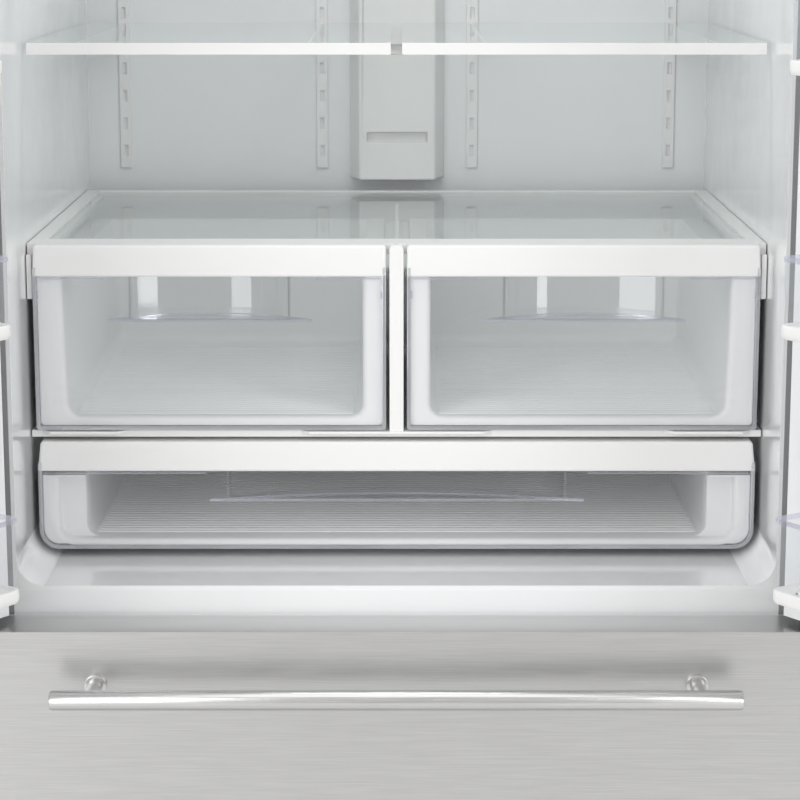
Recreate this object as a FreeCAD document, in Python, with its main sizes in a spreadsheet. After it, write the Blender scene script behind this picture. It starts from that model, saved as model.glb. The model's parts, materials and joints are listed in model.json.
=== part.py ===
import FreeCAD, Part
import os
import re
import Sketcher

# A french door refrigerator: two hinged doors over one freezer drawer.
# +Z is up and the front faces -Y.  The origin is the middle of the case's footprint,
# on the floor.  The doors stand open and all the drawers are shut.

DIMENSIONS = {
    # the case
    "case_width": 908, "case_depth": 735, "case_top": 1740, "case_bottom": 40,
    "sheet_steel": 0.8, "side_wall": 62, "freezer_wall": 70, "rear_wall": 67, "top_wall": 50,
    "centre_wall": 57, "liner_thick": 2, "liner_edge": 4, "liner_lip": 18, "liner_corner": 28,
    "fresh_floor": 722, "freezer_floor": 105,
    "step_height": 220, "step_depth": 207, "step_wall": 60, "step_top_wall": 60,
    # the doors
    "door_thick": 62, "gasket_gap": 10, "door_gap": 7, "hinge_inset": 22, "open_angle": 125,
    "door_drop": 20, "door_rise": 8, "pin_radius": 5, "pin_length": 20, "pin_fit": 0.08,
    "plate_thick": 4, "plate_gap": 2, "gasket_width": 12, "gasket_inset": 8,
    "dike_height": 45, "dike_width": 22, "dike_clear": 8, "dike_centre": 50, "dike_round": 4,
    "dike_margin": 12, "bin_reach": 114, "bin_base": 13, "bin_wall": 2.5, "bin_clear": 2,
    "low_bin_rise": 1, "low_bin_height": 84, "bin_height": 78, "bin_below_crisper": 48.4,
    "handle_radius": 10, "handle_standoff": 50, "handle_inset": 30, "handle_end": 120,
    # the centre flap
    "flap_half": 28, "flap_thick": 16, "flap_clear": 0.5, "flap_pin": 3, "flap_arm": 5,
    "flap_margin": 28, "lug_height": 8, "knuckle_radius": 6,
    # drawers inside the fresh-food compartment
    "drawer_setback": 112, "drawer_depth": 470, "deli_clear": 9.3, "deli_height": 118.5,
    "stack_gap": 3.7, "deli_cover_thick": 7.5, "slide_gap": 1.5, "crisper_height": 198.9,
    "fascia_height": 33.8, "fascia_wall": 2.8, "crisper_fascia_depth": 12,
    "deli_fascia_depth": 24, "front_side_gap": 7.4, "crisper_inner": 11, "post_half": 7.4,
    "front_wall": 3, "front_return": 15.5, "tongue": 22, "tongue_inset": 5,
    "deli_corner": 21, "crisper_corner": 4,
    "end_taper": 1.5, "deli_taper": 3.7, "pan_wall": 2.5, "pan_drop": 30, "pan_draft": 4.3,
    "pan_corner": 14, "flange_width": 25, "flange_gap": 1, "pan_lift": 11, "part_gap": 0.5,
    "scoop_half": 108, "scoop_depth": 44, "scoop_drop": 45, "scoop_taper": 18,
    "deli_scoop_half": 201, "deli_scoop_depth": 30, "deli_scoop_drop": 30,
    "shoulder_width": 27, "shoulder_drop": 8, "shoulder_setback": 15,
    # covers and shelves
    "frame_thick": 11, "frame_border": 46, "frame_side": 22, "glass_thick": 4, "rebate": 6,
    "skirt_thick": 5, "skirt_drop": 58, "ledge_thick": 3, "ledge_width": 12, "web_half": 2,
    "post_depth": 35, "rest_height": 10, "rest_setback": 60, "lip_reach": 9, "lip_thick": 3,
    "outer_lip_width": 90, "centre_lip_half": 102, "tower_half": 60, "tower_depth": 30,
    "ladder_width": 14, "ladder_thick": 3, "ladder_margin": 47, "tower_margin": 35,
    "shelf_setback": 135, "shelf_arm": 26, "arm_thick": 3, "trim_height": 12, "trim_depth": 12,
    # the freezer
    "drawer_gap": 8, "drawer_low": 80, "freezer_dike": 20, "freezer_dike_inset": 108,
    "rail_length": 430, "rail_height": 40, "rail_width": 16, "rail_level": 250,
    "basket_wall": 3, "basket_clear": 46, "low_basket_height": 215, "low_basket_floor": 118,
    "up_basket_floor": 400, "up_basket_height": 112,
    # the base and what is behind it
    "foot_radius": 18, "foot_height": 12, "stem_radius": 6, "grille_low": 14, "grille_thick": 5,
    "slot_height": 5, "slot_pitch": 11, "can_radius": 70, "can_height": 150,
    "fan_radius": 60, "fan_hub": 18, "fan_shaft": 3, "gland_radius": 9,
}

# sizes worked out from the driving dimensions
WORKED = {
    "half": "case_width/2",
    "front": "-case_depth/2",
    "back": "case_depth/2",
    "skin_half": "case_width/2 - sheet_steel",
    "skin_front": "sheet_steel - case_depth/2",
    "skin_back": "case_depth/2 - sheet_steel",
    "inner": "case_width/2 - side_wall",
    "freezer_inner": "case_width/2 - freezer_wall",
    "inner_back": "case_depth/2 - rear_wall",
    "fresh_ceiling": "case_top - top_wall",
    "freezer_ceiling": "fresh_floor - centre_wall",
    "step_front": "case_depth/2 - step_depth",
    "step_top": "case_bottom + step_height",
    "flange_edge": "inner + liner_edge",
    "hinge_x": "half - hinge_inset",
    "door_back": "door_thick/2 - 1",
    "door_face": "-door_thick/2 - 1",
    "seal_plane": "door_back + gasket_gap",
    "hinge_y": "front - seal_plane",
    "door_reach": "hinge_x - door_gap/2",
    "door_bottom": "fresh_floor - door_drop",
    "door_top": "case_top + door_rise",
    "drawer_top": "door_bottom - drawer_gap",
    "drawer_front": "front - gasket_gap - door_thick",
    "drawer_rear": "front - gasket_gap",
    "dike_out": "hinge_x - inner + dike_clear",
    "dike_in": "hinge_x - dike_centre",
    "dike_low": "fresh_floor + dike_margin",
    "dike_high": "fresh_ceiling - dike_margin",
    "plane": "front + drawer_setback",
    "pan_back": "plane + drawer_depth",
    "deli_low": "fresh_floor + deli_clear",
    "deli_top": "deli_low + deli_height",
    "cover_low": "deli_top + stack_gap",
    "cover_top": "cover_low + deli_cover_thick",
    "crisper_low": "cover_top + slide_gap",
    "crisper_top": "crisper_low + crisper_height",
    "crisper_outer": "inner - front_side_gap",
    "cover_side": "inner - 1",
    "cover_back": "inner_back - tower_depth - 6",
    "frame_low": "crisper_top - frame_thick",
    "pan_top": "crisper_top - pan_drop",
    "ledge_top": "pan_top - pan_wall - part_gap",
    "deli_pan_top": "deli_top - pan_drop - 8",
    "tongue_back": "plane + front_wall + pan_wall",
    "flange_plane": "tongue_back + part_gap",
    "flap_x": "hinge_x - flap_half - flap_arm",
    "flap_y": "seal_plane + flap_clear + flap_thick/2",
    "flap_low": "dike_low + flap_margin - 12",
    "flap_high": "dike_high - flap_margin + 12",
    "grille_high": "drawer_low - 4",
    "rail_back": "drawer_rear + rail_length + 30",
    "ladder_out": "inner - ladder_margin",
    "ladder_in": "tower_half + tower_margin",
    "basket_half": "freezer_inner - basket_clear",
}

doc = FreeCAD.newDocument("french_door_refrigerator")
dims = doc.addObject("Spreadsheet::Sheet", "dims")
for row, (name, size) in enumerate(DIMENSIONS.items(), start=1):
    dims.set("A%d" % row, name)
    dims.set("B%d" % row, str(size))
    dims.setAlias("B%d" % row, name)
doc.recompute()

WORD = re.compile(r"[a-z_]+(?![a-z_(])")
QUARTER = 1.5707963267948966
SUBPARTS = []


def full(text):
    """An expression in the sheet's cells, from one in the short names."""
    def cell(match):
        word = match.group(0)
        if word in WORKED:
            return "(" + full(WORKED[word]) + ")"
        return "dims." + word if word in DIMENSIONS else word
    return WORD.sub(cell, str(text))


def value(text):
    """The number that an expression comes to."""
    return float(dims.evalExpression(full(text)))


def bind(thing, field, text):
    thing.setExpression(field, full(text))


def less(text):
    return "-(" + str(text) + ")"


def size_of(span):
    return "(%s) - (%s)" % (span[1], span[0])


def side_span(side, low, high):
    """A span across the object, or its mirror image on the other side."""
    return (low, high) if side > 0 else (less(high), less(low))


def both(reach):
    return (less(reach), reach)


def subpart(thing, name):
    thing.Label = name
    SUBPARTS.append(thing)
    return thing


def block(x, y, z):
    box = doc.addObject("Part::Box", "block")
    for field, span in (("Length", x), ("Width", y), ("Height", z)):
        bind(box, field, size_of(span))
    for axis, span in (("x", x), ("y", y), ("z", z)):
        bind(box, "Placement.Base." + axis, span[0])
    return box


def joined(things):
    fuse = doc.addObject("Part::MultiFuse", "joined")
    fuse.Shapes = things
    return fuse


def cut(base, tool):
    result = doc.addObject("Part::Cut", "cut")
    result.Base = base
    result.Tool = tool
    return result


# Outlines: each adds its lines to a sketch.

def closed(sketch, first, count):
    for i in range(count):
        after = first + (i + 1) % count
        sketch.addConstraint(Sketcher.Constraint("Coincident", first + i, 2, after, 1))


def place_point(sketch, line, end, u, v):
    for kind, text in (("DistanceX", u), ("DistanceY", v)):
        if text is not None:
            number = sketch.addConstraint(
                Sketcher.Constraint(kind, -1, 1, line, end, value(text)))
            bind(sketch, "Constraints[%d]" % number, text)


def polygon(*points):
    def draw(sketch):
        first = sketch.GeometryCount
        spots = [FreeCAD.Vector(value(u), value(v), 0) for u, v in points]
        for i, spot in enumerate(spots):
            sketch.addGeometry(Part.LineSegment(spot, spots[(i + 1) % len(spots)]), False)
        closed(sketch, first, len(spots))
        for i, (u, v) in enumerate(points):
            place_point(sketch, first + i, 1, u, v)
    return draw


def rectangle(u, v):
    return polygon((u[0], v[0]), (u[1], v[0]), (u[1], v[1]), (u[0], v[1]))


def arc_corner(u, v, turn, start):
    """A quarter circle about (u, v)."""
    ring = Part.Circle(FreeCAD.Vector(u, v, 0), FreeCAD.Vector(0, 0, 1), turn)
    return Part.ArcOfCircle(ring, start, start + QUARTER)


def leaning(sketch, line, end, top_u, foot_u, foot_v):
    """Puts a side line through its top end and through the foot, a corner before rounding."""
    foot = sketch.addGeometry(Part.Point(FreeCAD.Vector(value(foot_u), value(foot_v), 0)), True)
    place_point(sketch, foot, 1, foot_u, foot_v)
    place_point(sketch, line, end, top_u, None)
    sketch.addConstraint(Sketcher.Constraint("PointOnObject", foot, 1, line))


def rounded(u, v, radius, top=True, lean=None):
    """A rectangle with round lower corners, and round upper ones unless top is False.
    With a lean, the left and right sides come in by that much at the foot."""
    def draw(sketch):
        low_u, high_u, low_v, high_v = value(u[0]), value(u[1]), value(v[0]), value(v[1])
        turn = value(radius)
        over = turn if top else 0
        ends = [((low_u + turn, low_v), (high_u - turn, low_v)),
                ((high_u, low_v + turn), (high_u, high_v - over)),
                ((high_u - over, high_v), (low_u + over, high_v)),
                ((low_u, high_v - over), (low_u, low_v + turn))]
        centres = [(high_u - turn, low_v + turn), (high_u - turn, high_v - turn),
                   (low_u + turn, high_v - turn), (low_u + turn, low_v + turn)]
        lines, arcs = [], []
        for i, (start, stop) in enumerate(ends):
            line = Part.LineSegment(FreeCAD.Vector(*start, 0), FreeCAD.Vector(*stop, 0))
            lines.append(sketch.addGeometry(line, False))
            if top or i in (0, 3):
                arc = arc_corner(*centres[i], turn, (i - 1) * QUARTER)
                arcs.append(sketch.addGeometry(arc, False))
            else:
                arcs.append(None)
        for i, arc in enumerate(arcs):
            after = lines[(i + 1) % 4]
            if arc is None:
                sketch.addConstraint(Sketcher.Constraint("Coincident", lines[i], 2, after, 1))
            else:
                sketch.addConstraint(Sketcher.Constraint("Tangent", lines[i], 2, arc, 1))
                sketch.addConstraint(Sketcher.Constraint("Tangent", arc, 2, after, 1))
                if arc != arcs[0]:
                    sketch.addConstraint(Sketcher.Constraint("Equal", arcs[0], arc))
        sides = {1: (2, u[1], "%s - %s"), 3: (1, u[0], "%s + %s")}
        levels = {0: v[0], 2: v[1]}
        for i, line in enumerate(lines):
            if i in levels:
                sketch.addConstraint(Sketcher.Constraint("Horizontal", line))
                place_point(sketch, line, 1, None, levels[i])
            elif lean:
                end, top_u, foot = sides[i]
                foot_u = foot % (top_u, lean[0] if i == 3 else lean[1])
                leaning(sketch, line, end, top_u, foot_u, v[0])
            else:
                sketch.addConstraint(Sketcher.Constraint("Vertical", line))
                place_point(sketch, line, 1, sides[i][1], None)
        number = sketch.addConstraint(Sketcher.Constraint("Radius", arcs[0], turn))
        bind(sketch, "Constraints[%d]" % number, radius)
    return draw


def circle(u, v, radius):
    def draw(sketch):
        centre = FreeCAD.Vector(value(u), value(v), 0)
        ring = Part.Circle(centre, FreeCAD.Vector(0, 0, 1), value(radius))
        line = sketch.addGeometry(ring, False)
        number = sketch.addConstraint(Sketcher.Constraint("Radius", line, value(radius)))
        bind(sketch, "Constraints[%d]" % number, radius)
        place_point(sketch, line, 3, u, v)
    return draw


def bow(u, v, half, depth):
    """A straight front edge centred on (u, v), and an arc behind it."""
    def draw(sketch):
        first = sketch.GeometryCount
        middle, edge, wide, deep = value(u), value(v), value(half), value(depth)
        left = FreeCAD.Vector(middle - wide, edge, 0)
        right = FreeCAD.Vector(middle + wide, edge, 0)
        far = FreeCAD.Vector(middle, edge + deep, 0)
        sketch.addGeometry(Part.LineSegment(left, right), False)
        sketch.addGeometry(Part.Arc(right, far, left), False)
        sketch.addConstraint(Sketcher.Constraint("Coincident", first, 2, first + 1, 1))
        sketch.addConstraint(Sketcher.Constraint("Coincident", first, 1, first + 1, 2))
        place_point(sketch, first, 1, "(%s) - (%s)" % (u, half), v)
        place_point(sketch, first, 2, "(%s) + (%s)" % (u, half), v)
        reach = "((%s)^2 + (%s)^2) / (2 * (%s))" % (half, depth, depth)
        number = sketch.addConstraint(Sketcher.Constraint("Radius", first + 1, value(reach)))
        bind(sketch, "Constraints[%d]" % number, reach)
    return draw


class Piece:
    """One body, built up from pads and pockets along the object's own axes."""

    PLANES = {"X": "YZ_Plane", "Y": "XZ_Plane", "Z": "XY_Plane"}

    def __init__(self, name):
        self.body = doc.addObject("PartDesign::Body", name)

    def sketch(self, axis, level, outlines):
        """Across the named axis.  The Y plane's own normal points to the front."""
        sketch = self.body.newObject("Sketcher::SketchObject", "outline")
        role = self.PLANES[axis]
        plane = [f for f in self.body.Origin.OriginFeatures if f.Role == role][0]
        sketch.AttachmentSupport = [(plane, "")]
        sketch.MapMode = "FlatFace"
        bind(sketch, "AttachmentOffset.Base.z", less(level) if axis == "Y" else level)
        for outline in outlines:
            outline(sketch)
        return sketch

    def pad(self, axis, span, *outlines):
        start = span[1] if axis == "Y" else span[0]
        pad = self.body.newObject("PartDesign::Pad", "pad")
        pad.Profile = self.sketch(axis, start, outlines)
        bind(pad, "Length", size_of(span))
        return self

    def pocket(self, axis, span, *outlines):
        doc.recompute()
        before = self.body.Shape.Volume
        start = span[0] if axis == "Y" else span[1]
        pocket = self.body.newObject("PartDesign::Pocket", "pocket")
        pocket.Profile = self.sketch(axis, start, outlines)
        bind(pocket, "Length", size_of(span))
        doc.recompute()
        if self.body.Shape.Volume >= before:
            raise RuntimeError("a pocket in %s cuts nothing" % self.body.Name)
        return self

    def round(self, radius, axis, *places):
        """Rounds the straight edges that run along an axis through the places."""
        doc.recompute()
        wanted = [{k: value(text) for k, text in place.items()} for place in places]
        names = []
        for i, edge in enumerate(self.body.Shape.Edges, start=1):
            ends = [vertex.Point for vertex in edge.Vertexes]
            if len(ends) != 2 or edge.Curve.TypeId != "Part::GeomLine":
                continue
            along = (ends[1] - ends[0]).normalize()
            if abs(abs(getattr(along, axis)) - 1) > 1e-6:
                continue
            middle = (ends[0] + ends[1]) * 0.5
            if any(all(abs(getattr(middle, k) - v) < 0.01 for k, v in place.items())
                   for place in wanted):
                names.append("Edge%d" % i)
        if not names:
            raise RuntimeError("%s has no such edge to round" % self.body.Name)
        base = self.body.Tip
        fillet = self.body.newObject("PartDesign::Fillet", "fillet")
        fillet.Base = (base, names)
        bind(fillet, "Radius", radius)
        return self

    def row(self, axis, count, reach):
        """Repeats the last feature along an axis, with the last copy at the reach."""
        last = self.body.Tip
        doc.recompute()
        role = {"X": "X_Axis", "Y": "Y_Axis", "Z": "Z_Axis"}[axis]
        line = [f for f in self.body.Origin.OriginFeatures if f.Role == role][0]
        pattern = self.body.newObject("PartDesign::LinearPattern", "row")
        pattern.Originals = [last]
        pattern.Direction = (line, [""])
        pattern.Occurrences = count
        bind(pattern, "Length", reach)
        self.body.Tip = pattern
        return self

    def done(self, name, hinge=None):
        if hinge:
            swing(self.body, hinge)
        return subpart(self.body, name)


def swing(thing, side):
    """Stands a door's piece on its hinge axis, with the door open."""
    bind(thing, "Placement.Base.x", "hinge_x" if side > 0 else "-hinge_x")
    bind(thing, "Placement.Base.y", "hinge_y")
    bind(thing, "Placement.Rotation.Angle", "open_angle" if side > 0 else "-open_angle")


# The case -------------------------------------------------------------------------------

def case_wrapper():
    piece = Piece("case_wrapper")
    piece.pad("Y", ("front", "back"), rectangle(both("half"), ("case_bottom", "case_top")))
    piece.pocket("Y", ("skin_front", "back + 1"),
                 rectangle(both("skin_half"), ("case_bottom - 1", "case_top - sheet_steel")))
    piece.pocket("Y", ("front", "skin_front"),
                 rectangle(both("flange_edge"), ("case_bottom - 1", "fresh_ceiling + liner_edge")))
    piece.done("case_wrapper")


def back_panel():
    subpart(block(both("skin_half"), ("skin_back", "back"),
                  ("step_top", "case_top - sheet_steel")), "back_panel")


def base_panel():
    """The floor of the case, its front edge, and the step over the compressor."""
    low = ("case_bottom", "case_bottom + sheet_steel")
    piece = Piece("base_panel")
    piece.pad("Z", low, rectangle(both("skin_half"), ("skin_front", "skin_back")))
    piece.pad("Y", ("front", "skin_front"),
              rectangle(both("flange_edge"), ("case_bottom", "freezer_floor - liner_edge")))
    piece.pad("X", both("skin_half"),
              polygon(("step_front - sheet_steel", "case_bottom"), ("step_front", "case_bottom"),
                      ("step_front", "step_top - sheet_steel"),
                      ("skin_back", "step_top - sheet_steel"), ("skin_back", "step_top"),
                      ("step_front - sheet_steel", "step_top")))
    piece.done("base_panel")


def centre_rail():
    subpart(block(both("flange_edge"), ("front", "skin_front"),
                  ("freezer_ceiling + liner_edge", "fresh_floor - liner_edge")), "centre_rail")


def cabinet_foam():
    lip_back = "skin_front + liner_thick"
    whole = block(both("skin_half"), (lip_back, "skin_back"),
                  ("case_bottom + sheet_steel", "case_top - sheet_steel"))
    outer = "inner + liner_thick"
    cold = "freezer_inner + liner_thick"
    fresh = block(both(outer), ("front", "inner_back + liner_thick"),
                  ("fresh_floor - liner_thick", "fresh_ceiling + liner_thick"))
    frozen = block(both(cold), ("front", "inner_back + liner_thick"),
                   ("step_top + step_top_wall - liner_thick", "freezer_ceiling + liner_thick"))
    frozen_low = block(both(cold), ("front", "step_front - step_wall + liner_thick"),
                       ("freezer_floor - liner_thick", "freezer_ceiling"))
    machine = block(both("half"), ("step_front - sheet_steel", "back"),
                    ("case_bottom", "step_top"))
    subpart(cut(whole, joined([fresh, frozen, frozen_low, machine])), "cabinet_foam")


def fresh_food_liner():
    outer = both("inner + liner_thick")
    piece = Piece("fresh_food_liner")
    piece.pad("Y", ("skin_front", "inner_back + liner_thick"),
              rounded(outer, ("fresh_floor - liner_thick", "fresh_ceiling + liner_thick"),
                      "liner_corner + liner_thick"))
    piece.pad("Y", ("skin_front", "skin_front + liner_thick"),
              rectangle(both("inner + liner_lip"),
                        ("fresh_floor - liner_lip", "fresh_ceiling + liner_lip")))
    piece.pocket("Y", ("skin_front", "inner_back"),
                 rounded(both("inner"), ("fresh_floor", "fresh_ceiling"), "liner_corner"))
    start = "plane + rest_setback"
    for side in (-1, 1):
        for top in ("crisper_top - skirt_drop", "cover_low"):
            piece.pad("Y", (start, "cover_back"),
                      rectangle(side_span(side, "inner - 6", "inner + 1"),
                                (top + " - rest_height", top)))
    piece.done("fresh_food_liner")


def freezer_liner():
    low_back = "step_front - step_wall"
    high = "step_top + step_top_wall"

    def side_outline(grow):
        return polygon(("skin_front", "freezer_floor - " + grow),
                       (low_back + " + " + grow, "freezer_floor - " + grow),
                       (low_back + " + " + grow, high + " - " + grow),
                       ("inner_back + " + grow, high + " - " + grow),
                       ("inner_back + " + grow, "freezer_ceiling + " + grow),
                       ("skin_front", "freezer_ceiling + " + grow))

    piece = Piece("freezer_liner")
    piece.pad("X", both("freezer_inner + liner_thick"), side_outline("liner_thick"))
    piece.pad("Y", ("skin_front", "skin_front + liner_thick"),
              rectangle(both("inner + liner_lip"),
                        ("freezer_floor - liner_lip", "freezer_ceiling + liner_lip")))
    piece.pocket("X", both("freezer_inner"), side_outline("0"))
    for side in (-1, 1):
        piece.pad("Y", ("front + 30", "inner_back - 60"),
                  rectangle(side_span(side, "freezer_inner - ledge_width", "freezer_inner + 1"),
                            ("up_basket_floor + up_basket_height - 12",
                             "up_basket_floor + up_basket_height - basket_wall - part_gap")))
    piece.done("freezer_liner")


def toe_grille():
    piece = Piece("toe_grille")
    piece.pad("Y", ("front - grille_thick", "front"),
              rounded(both("half - 14"), ("grille_low", "grille_high"), "8"))
    piece.pocket("Y", ("front - grille_thick", "front"),
                 rectangle(both("half - 60"), ("grille_low + 14", "grille_low + 14 + slot_height")))
    piece.row("Z", 4, "3*slot_pitch")
    piece.done("toe_grille")


def levelling_feet():
    piece = Piece("levelling_feet")
    for x in ("half - 44", "44 - half"):
        for y in ("front + 38", "back - 38"):
            piece.pad("Z", ("0", "foot_height"), circle(x, y, "foot_radius"))
            piece.pad("Z", ("foot_height", "case_bottom"), circle(x, y, "stem_radius"))
    piece.done("levelling_feet")


def door_hinges():
    """Top and middle hinges, left and right, each a bent plate with its pin."""
    piece = Piece("door_hinges")
    for side in (-1, 1):
        axis_x = "hinge_x" if side > 0 else "-hinge_x"
        width = side_span(side, "hinge_x - 20", "hinge_x + 16")
        top = "door_top + plate_gap"
        piece.pad("X", width,
                  polygon(("hinge_y - 12", top), ("front + 6", top),
                          ("front + 6", "case_top"), ("front + 60", "case_top"),
                          ("front + 60", "case_top + plate_thick"),
                          ("front + 6 + plate_thick", "case_top + plate_thick"),
                          ("front + 6 + plate_thick", top + " + plate_thick"),
                          ("hinge_y - 12", top + " + plate_thick")))
        piece.pad("Z", ("door_top - pin_length", top), circle(axis_x, "hinge_y", "pin_radius"))
        low = "door_bottom - plate_gap - plate_thick"
        piece.pad("X", side_span(side, "hinge_x - 2", "hinge_x + 16"),
                  polygon(("hinge_y - 12", low), ("front - plate_thick", low),
                          ("front - plate_thick", low + " - 24"), ("front", low + " - 24"),
                          ("front", low + " + plate_thick"), ("hinge_y - 12", low + " + plate_thick")))
        piece.pad("Z", (low, low + " + plate_thick"),
                  circle(axis_x, "hinge_y", "pin_radius + 7"))
        piece.pad("Z", (low, "door_bottom + pin_length"), circle(axis_x, "hinge_y", "pin_radius"))
    piece.done("door_hinges")


def hinge_covers():
    piece = Piece("hinge_covers")
    low = "door_top + plate_gap + plate_thick + 1"
    high = low + " + 22"
    for side in (-1, 1):
        for grow, width in (("0", ("hinge_x - 28", "hinge_x + 20")),
                            ("2", ("hinge_x - 26", "hinge_x + 18"))):
            shape = polygon(("hinge_y - 18 + " + grow, low + " - 0.5*" + grow),
                            ("front + 2 + " + grow, low + " - 0.5*" + grow),
                            ("front + 2 + " + grow, "case_top - 0.5*" + grow),
                            ("front + 70 - " + grow, "case_top - 0.5*" + grow),
                            ("front + 70 - " + grow, high + " - " + grow),
                            ("hinge_y - 18 + " + grow, high + " - " + grow))
            if grow == "0":
                piece.pad("X", side_span(side, *width), shape)
            else:
                piece.pocket("X", side_span(side, *width), shape)
        slot = side_span(side, "hinge_x - 20.5", "hinge_x + 16.5")
        piece.pocket("Z", ("case_top - 1", low + " - 0.4"),
                     rectangle(slot, ("front + 1", "front + 6.5 + plate_thick")))
    piece.done("hinge_covers")


def hinge_screws():
    """Two for each hinge plate: upright on the case's top, flat on its front."""
    piece = Piece("hinge_screws")
    for side in (-1, 1):
        for reach in ("hinge_x - 12", "hinge_x + 8"):
            x = reach if side > 0 else less(reach)
            high = "case_top + plate_thick"
            piece.pad("Z", (high, high + " + 3"), circle(x, "front + 45", "5"))
        for drop in ("-16", "-26"):
            x = "hinge_x + 9" if side > 0 else "-hinge_x - 9"
            z = "door_bottom - plate_gap - plate_thick + 4 " + drop
            piece.pad("Y", ("front - plate_thick - 2", "front - plate_thick"),
                      circle(x, z, "3.5"))
    piece.done("hinge_screws")


# Inside the fresh-food compartment ------------------------------------------------------

def air_tower():
    piece = Piece("air_tower")
    piece.pad("Z", ("crisper_top + 12", "fresh_ceiling - 50"),
              polygon(("-tower_half", "inner_back"), ("12 - tower_half", "inner_back - tower_depth"),
                      ("tower_half - 12", "inner_back - tower_depth"), ("tower_half", "inner_back")))
    piece.pocket("Y", ("inner_back - tower_depth", "inner_back - tower_depth + 8"),
                 rectangle(both("tower_half - 22"), ("crisper_top + 60", "crisper_top + 72")))
    piece.row("Z", 5, "fresh_ceiling - crisper_top - 190")
    piece.done("air_tower")


def ceiling_console():
    piece = Piece("ceiling_console")
    piece.pad("Z", ("fresh_ceiling - 22", "fresh_ceiling"),
              rounded(both("150"), ("front + 130", "front + 250"), "18"))
    piece.pocket("Z", ("fresh_ceiling - 22", "fresh_ceiling - 19"),
                 rounded(both("130"), ("front + 150", "front + 200"), "10"))
    piece.done("ceiling_console")


def shelf_ladders():
    piece = Piece("shelf_ladders")
    face = "inner_back - ladder_thick"
    for side in (-1, 1):
        for middle in ("ladder_out", "ladder_in"):
            piece.pad("Y", (face, "inner_back"),
                      rectangle(side_span(side, middle + " - ladder_width/2",
                                          middle + " + ladder_width/2"),
                                ("crisper_top + 25", "fresh_ceiling - 40")))
            piece.pocket("Y", (face, "inner_back"),
                         rectangle(side_span(side, middle + " - 2.5", middle + " + 2.5"),
                                   ("crisper_top + 40", "crisper_top + 54")))
            piece.row("Z", 16, "fresh_ceiling - crisper_top - 109")
    piece.done("shelf_ladders")


def shelf_level(number):
    """The top of a shelf's glass: the shelves share the height over the crispers."""
    return "crisper_top + %d*(fresh_ceiling - crisper_top)/3" % number


def shelf_spans(side):
    return side_span(side, "6", "inner - 5"), ("front + shelf_setback", "inner_back - tower_depth - 8")


def shelf_frames():
    piece = Piece("shelf_frames")
    for number in (1, 2):
        top = shelf_level(number)
        under = top + " - glass_thick"
        for side in (-1, 1):
            across, along = shelf_spans(side)
            piece.pad("X", across,
                      polygon((along[0], top + " - trim_height"),
                              (along[0] + " + trim_depth", top + " - trim_height"),
                              (along[0] + " + trim_depth", under), (along[0] + " + 3", under),
                              (along[0] + " + 3", top), (along[0], top)))
            for middle in ("ladder_out", "ladder_in"):
                piece.pad("X", side_span(side, middle + " - arm_thick/2", middle + " + arm_thick/2"),
                          polygon((along[0] + " + 4", under + " - 8"),
                                  ("inner_back - ladder_thick", under + " - shelf_arm"),
                                  ("inner_back - ladder_thick", under),
                                  (along[0] + " + 4", under)))
    piece.done("shelf_frames")


def shelf_glass():
    piece = Piece("shelf_glass")
    for number in (1, 2):
        top = shelf_level(number)
        for side in (-1, 1):
            across, along = shelf_spans(side)
            piece.pad("Z", (top + " - glass_thick", top),
                      rectangle(across, (along[0] + " + 3.3", along[1])))
    piece.done("shelf_glass")


def crisper_cover_frame():
    """A frame round the glass, with side skirts, a centre post and a web between the drawers."""
    start = "plane + crisper_fascia_depth + slide_gap"
    piece = Piece("crisper_cover_frame")
    piece.pad("Z", ("frame_low", "crisper_top"), rectangle(both("cover_side"), (start, "cover_back")))
    piece.pocket("Z", ("crisper_top - glass_thick - 1", "crisper_top"),
                 rectangle(both("cover_side - frame_side + rebate"),
                           (start + " + frame_border - rebate", "cover_back - 20 + rebate")))
    piece.pocket("Z", ("frame_low", "crisper_top"),
                 rectangle(both("cover_side - frame_side"),
                           (start + " + frame_border", "cover_back - 20")))
    for side in (-1, 1):
        skirt = ("cover_side - skirt_thick", "cover_side")
        piece.pad("Y", ("plane + 6", "cover_back"),
                  rectangle(side_span(side, *skirt), ("crisper_top - skirt_drop", "frame_low")))
        for reach in (("cover_side - skirt_thick - ledge_width", "cover_side - skirt_thick"),
                      ("0", "web_half + ledge_width")):
            piece.pad("Y", ("plane + front_return + 1", "pan_back"),
                      rectangle(side_span(side, *reach), ("ledge_top - ledge_thick", "ledge_top")))
    piece.pad("Y", ("plane + 1", "pan_back"),
              rectangle(both("web_half"), ("cover_top + 4", "frame_low")))
    piece.pad("Y", ("plane + 1", "plane + 1 + post_depth"),
              rectangle(both("post_half"), ("cover_top", "crisper_top")))
    piece.round("6", "y", {"x": "post_half", "z": "crisper_top"},
                {"x": "-post_half", "z": "crisper_top"})
    piece.done("crisper_cover_frame")


def crisper_cover_glass():
    start = "plane + crisper_fascia_depth + slide_gap + frame_border - rebate + part_gap"
    subpart(block(both("cover_side - frame_side + rebate - part_gap"),
                  (start, "cover_back - 20 + rebate - part_gap"),
                  ("crisper_top - glass_thick - 1", "crisper_top - 1")), "crisper_cover_glass")


def deli_cover():
    """The plate between the deli drawer and the crispers, with three small front lips."""
    piece = Piece("deli_cover")
    piece.pad("Z", ("cover_low", "cover_top"),
              rectangle(both("cover_side"), ("plane + 8", "cover_back")))
    spans = [both("centre_lip_half")]
    for side in (-1, 1):
        spans.append(side_span(side, "cover_side - 12 - outer_lip_width", "cover_side - 12"))
    for low, high in spans:
        piece.pad("Z", ("cover_top - lip_thick", "cover_top"),
                  polygon((low, "plane + 8"), (low + " + lip_reach", "plane + 8 - lip_reach"),
                          (high + " - lip_reach", "plane + 8 - lip_reach"), (high, "plane + 8")))
    piece.done("deli_cover")


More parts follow.
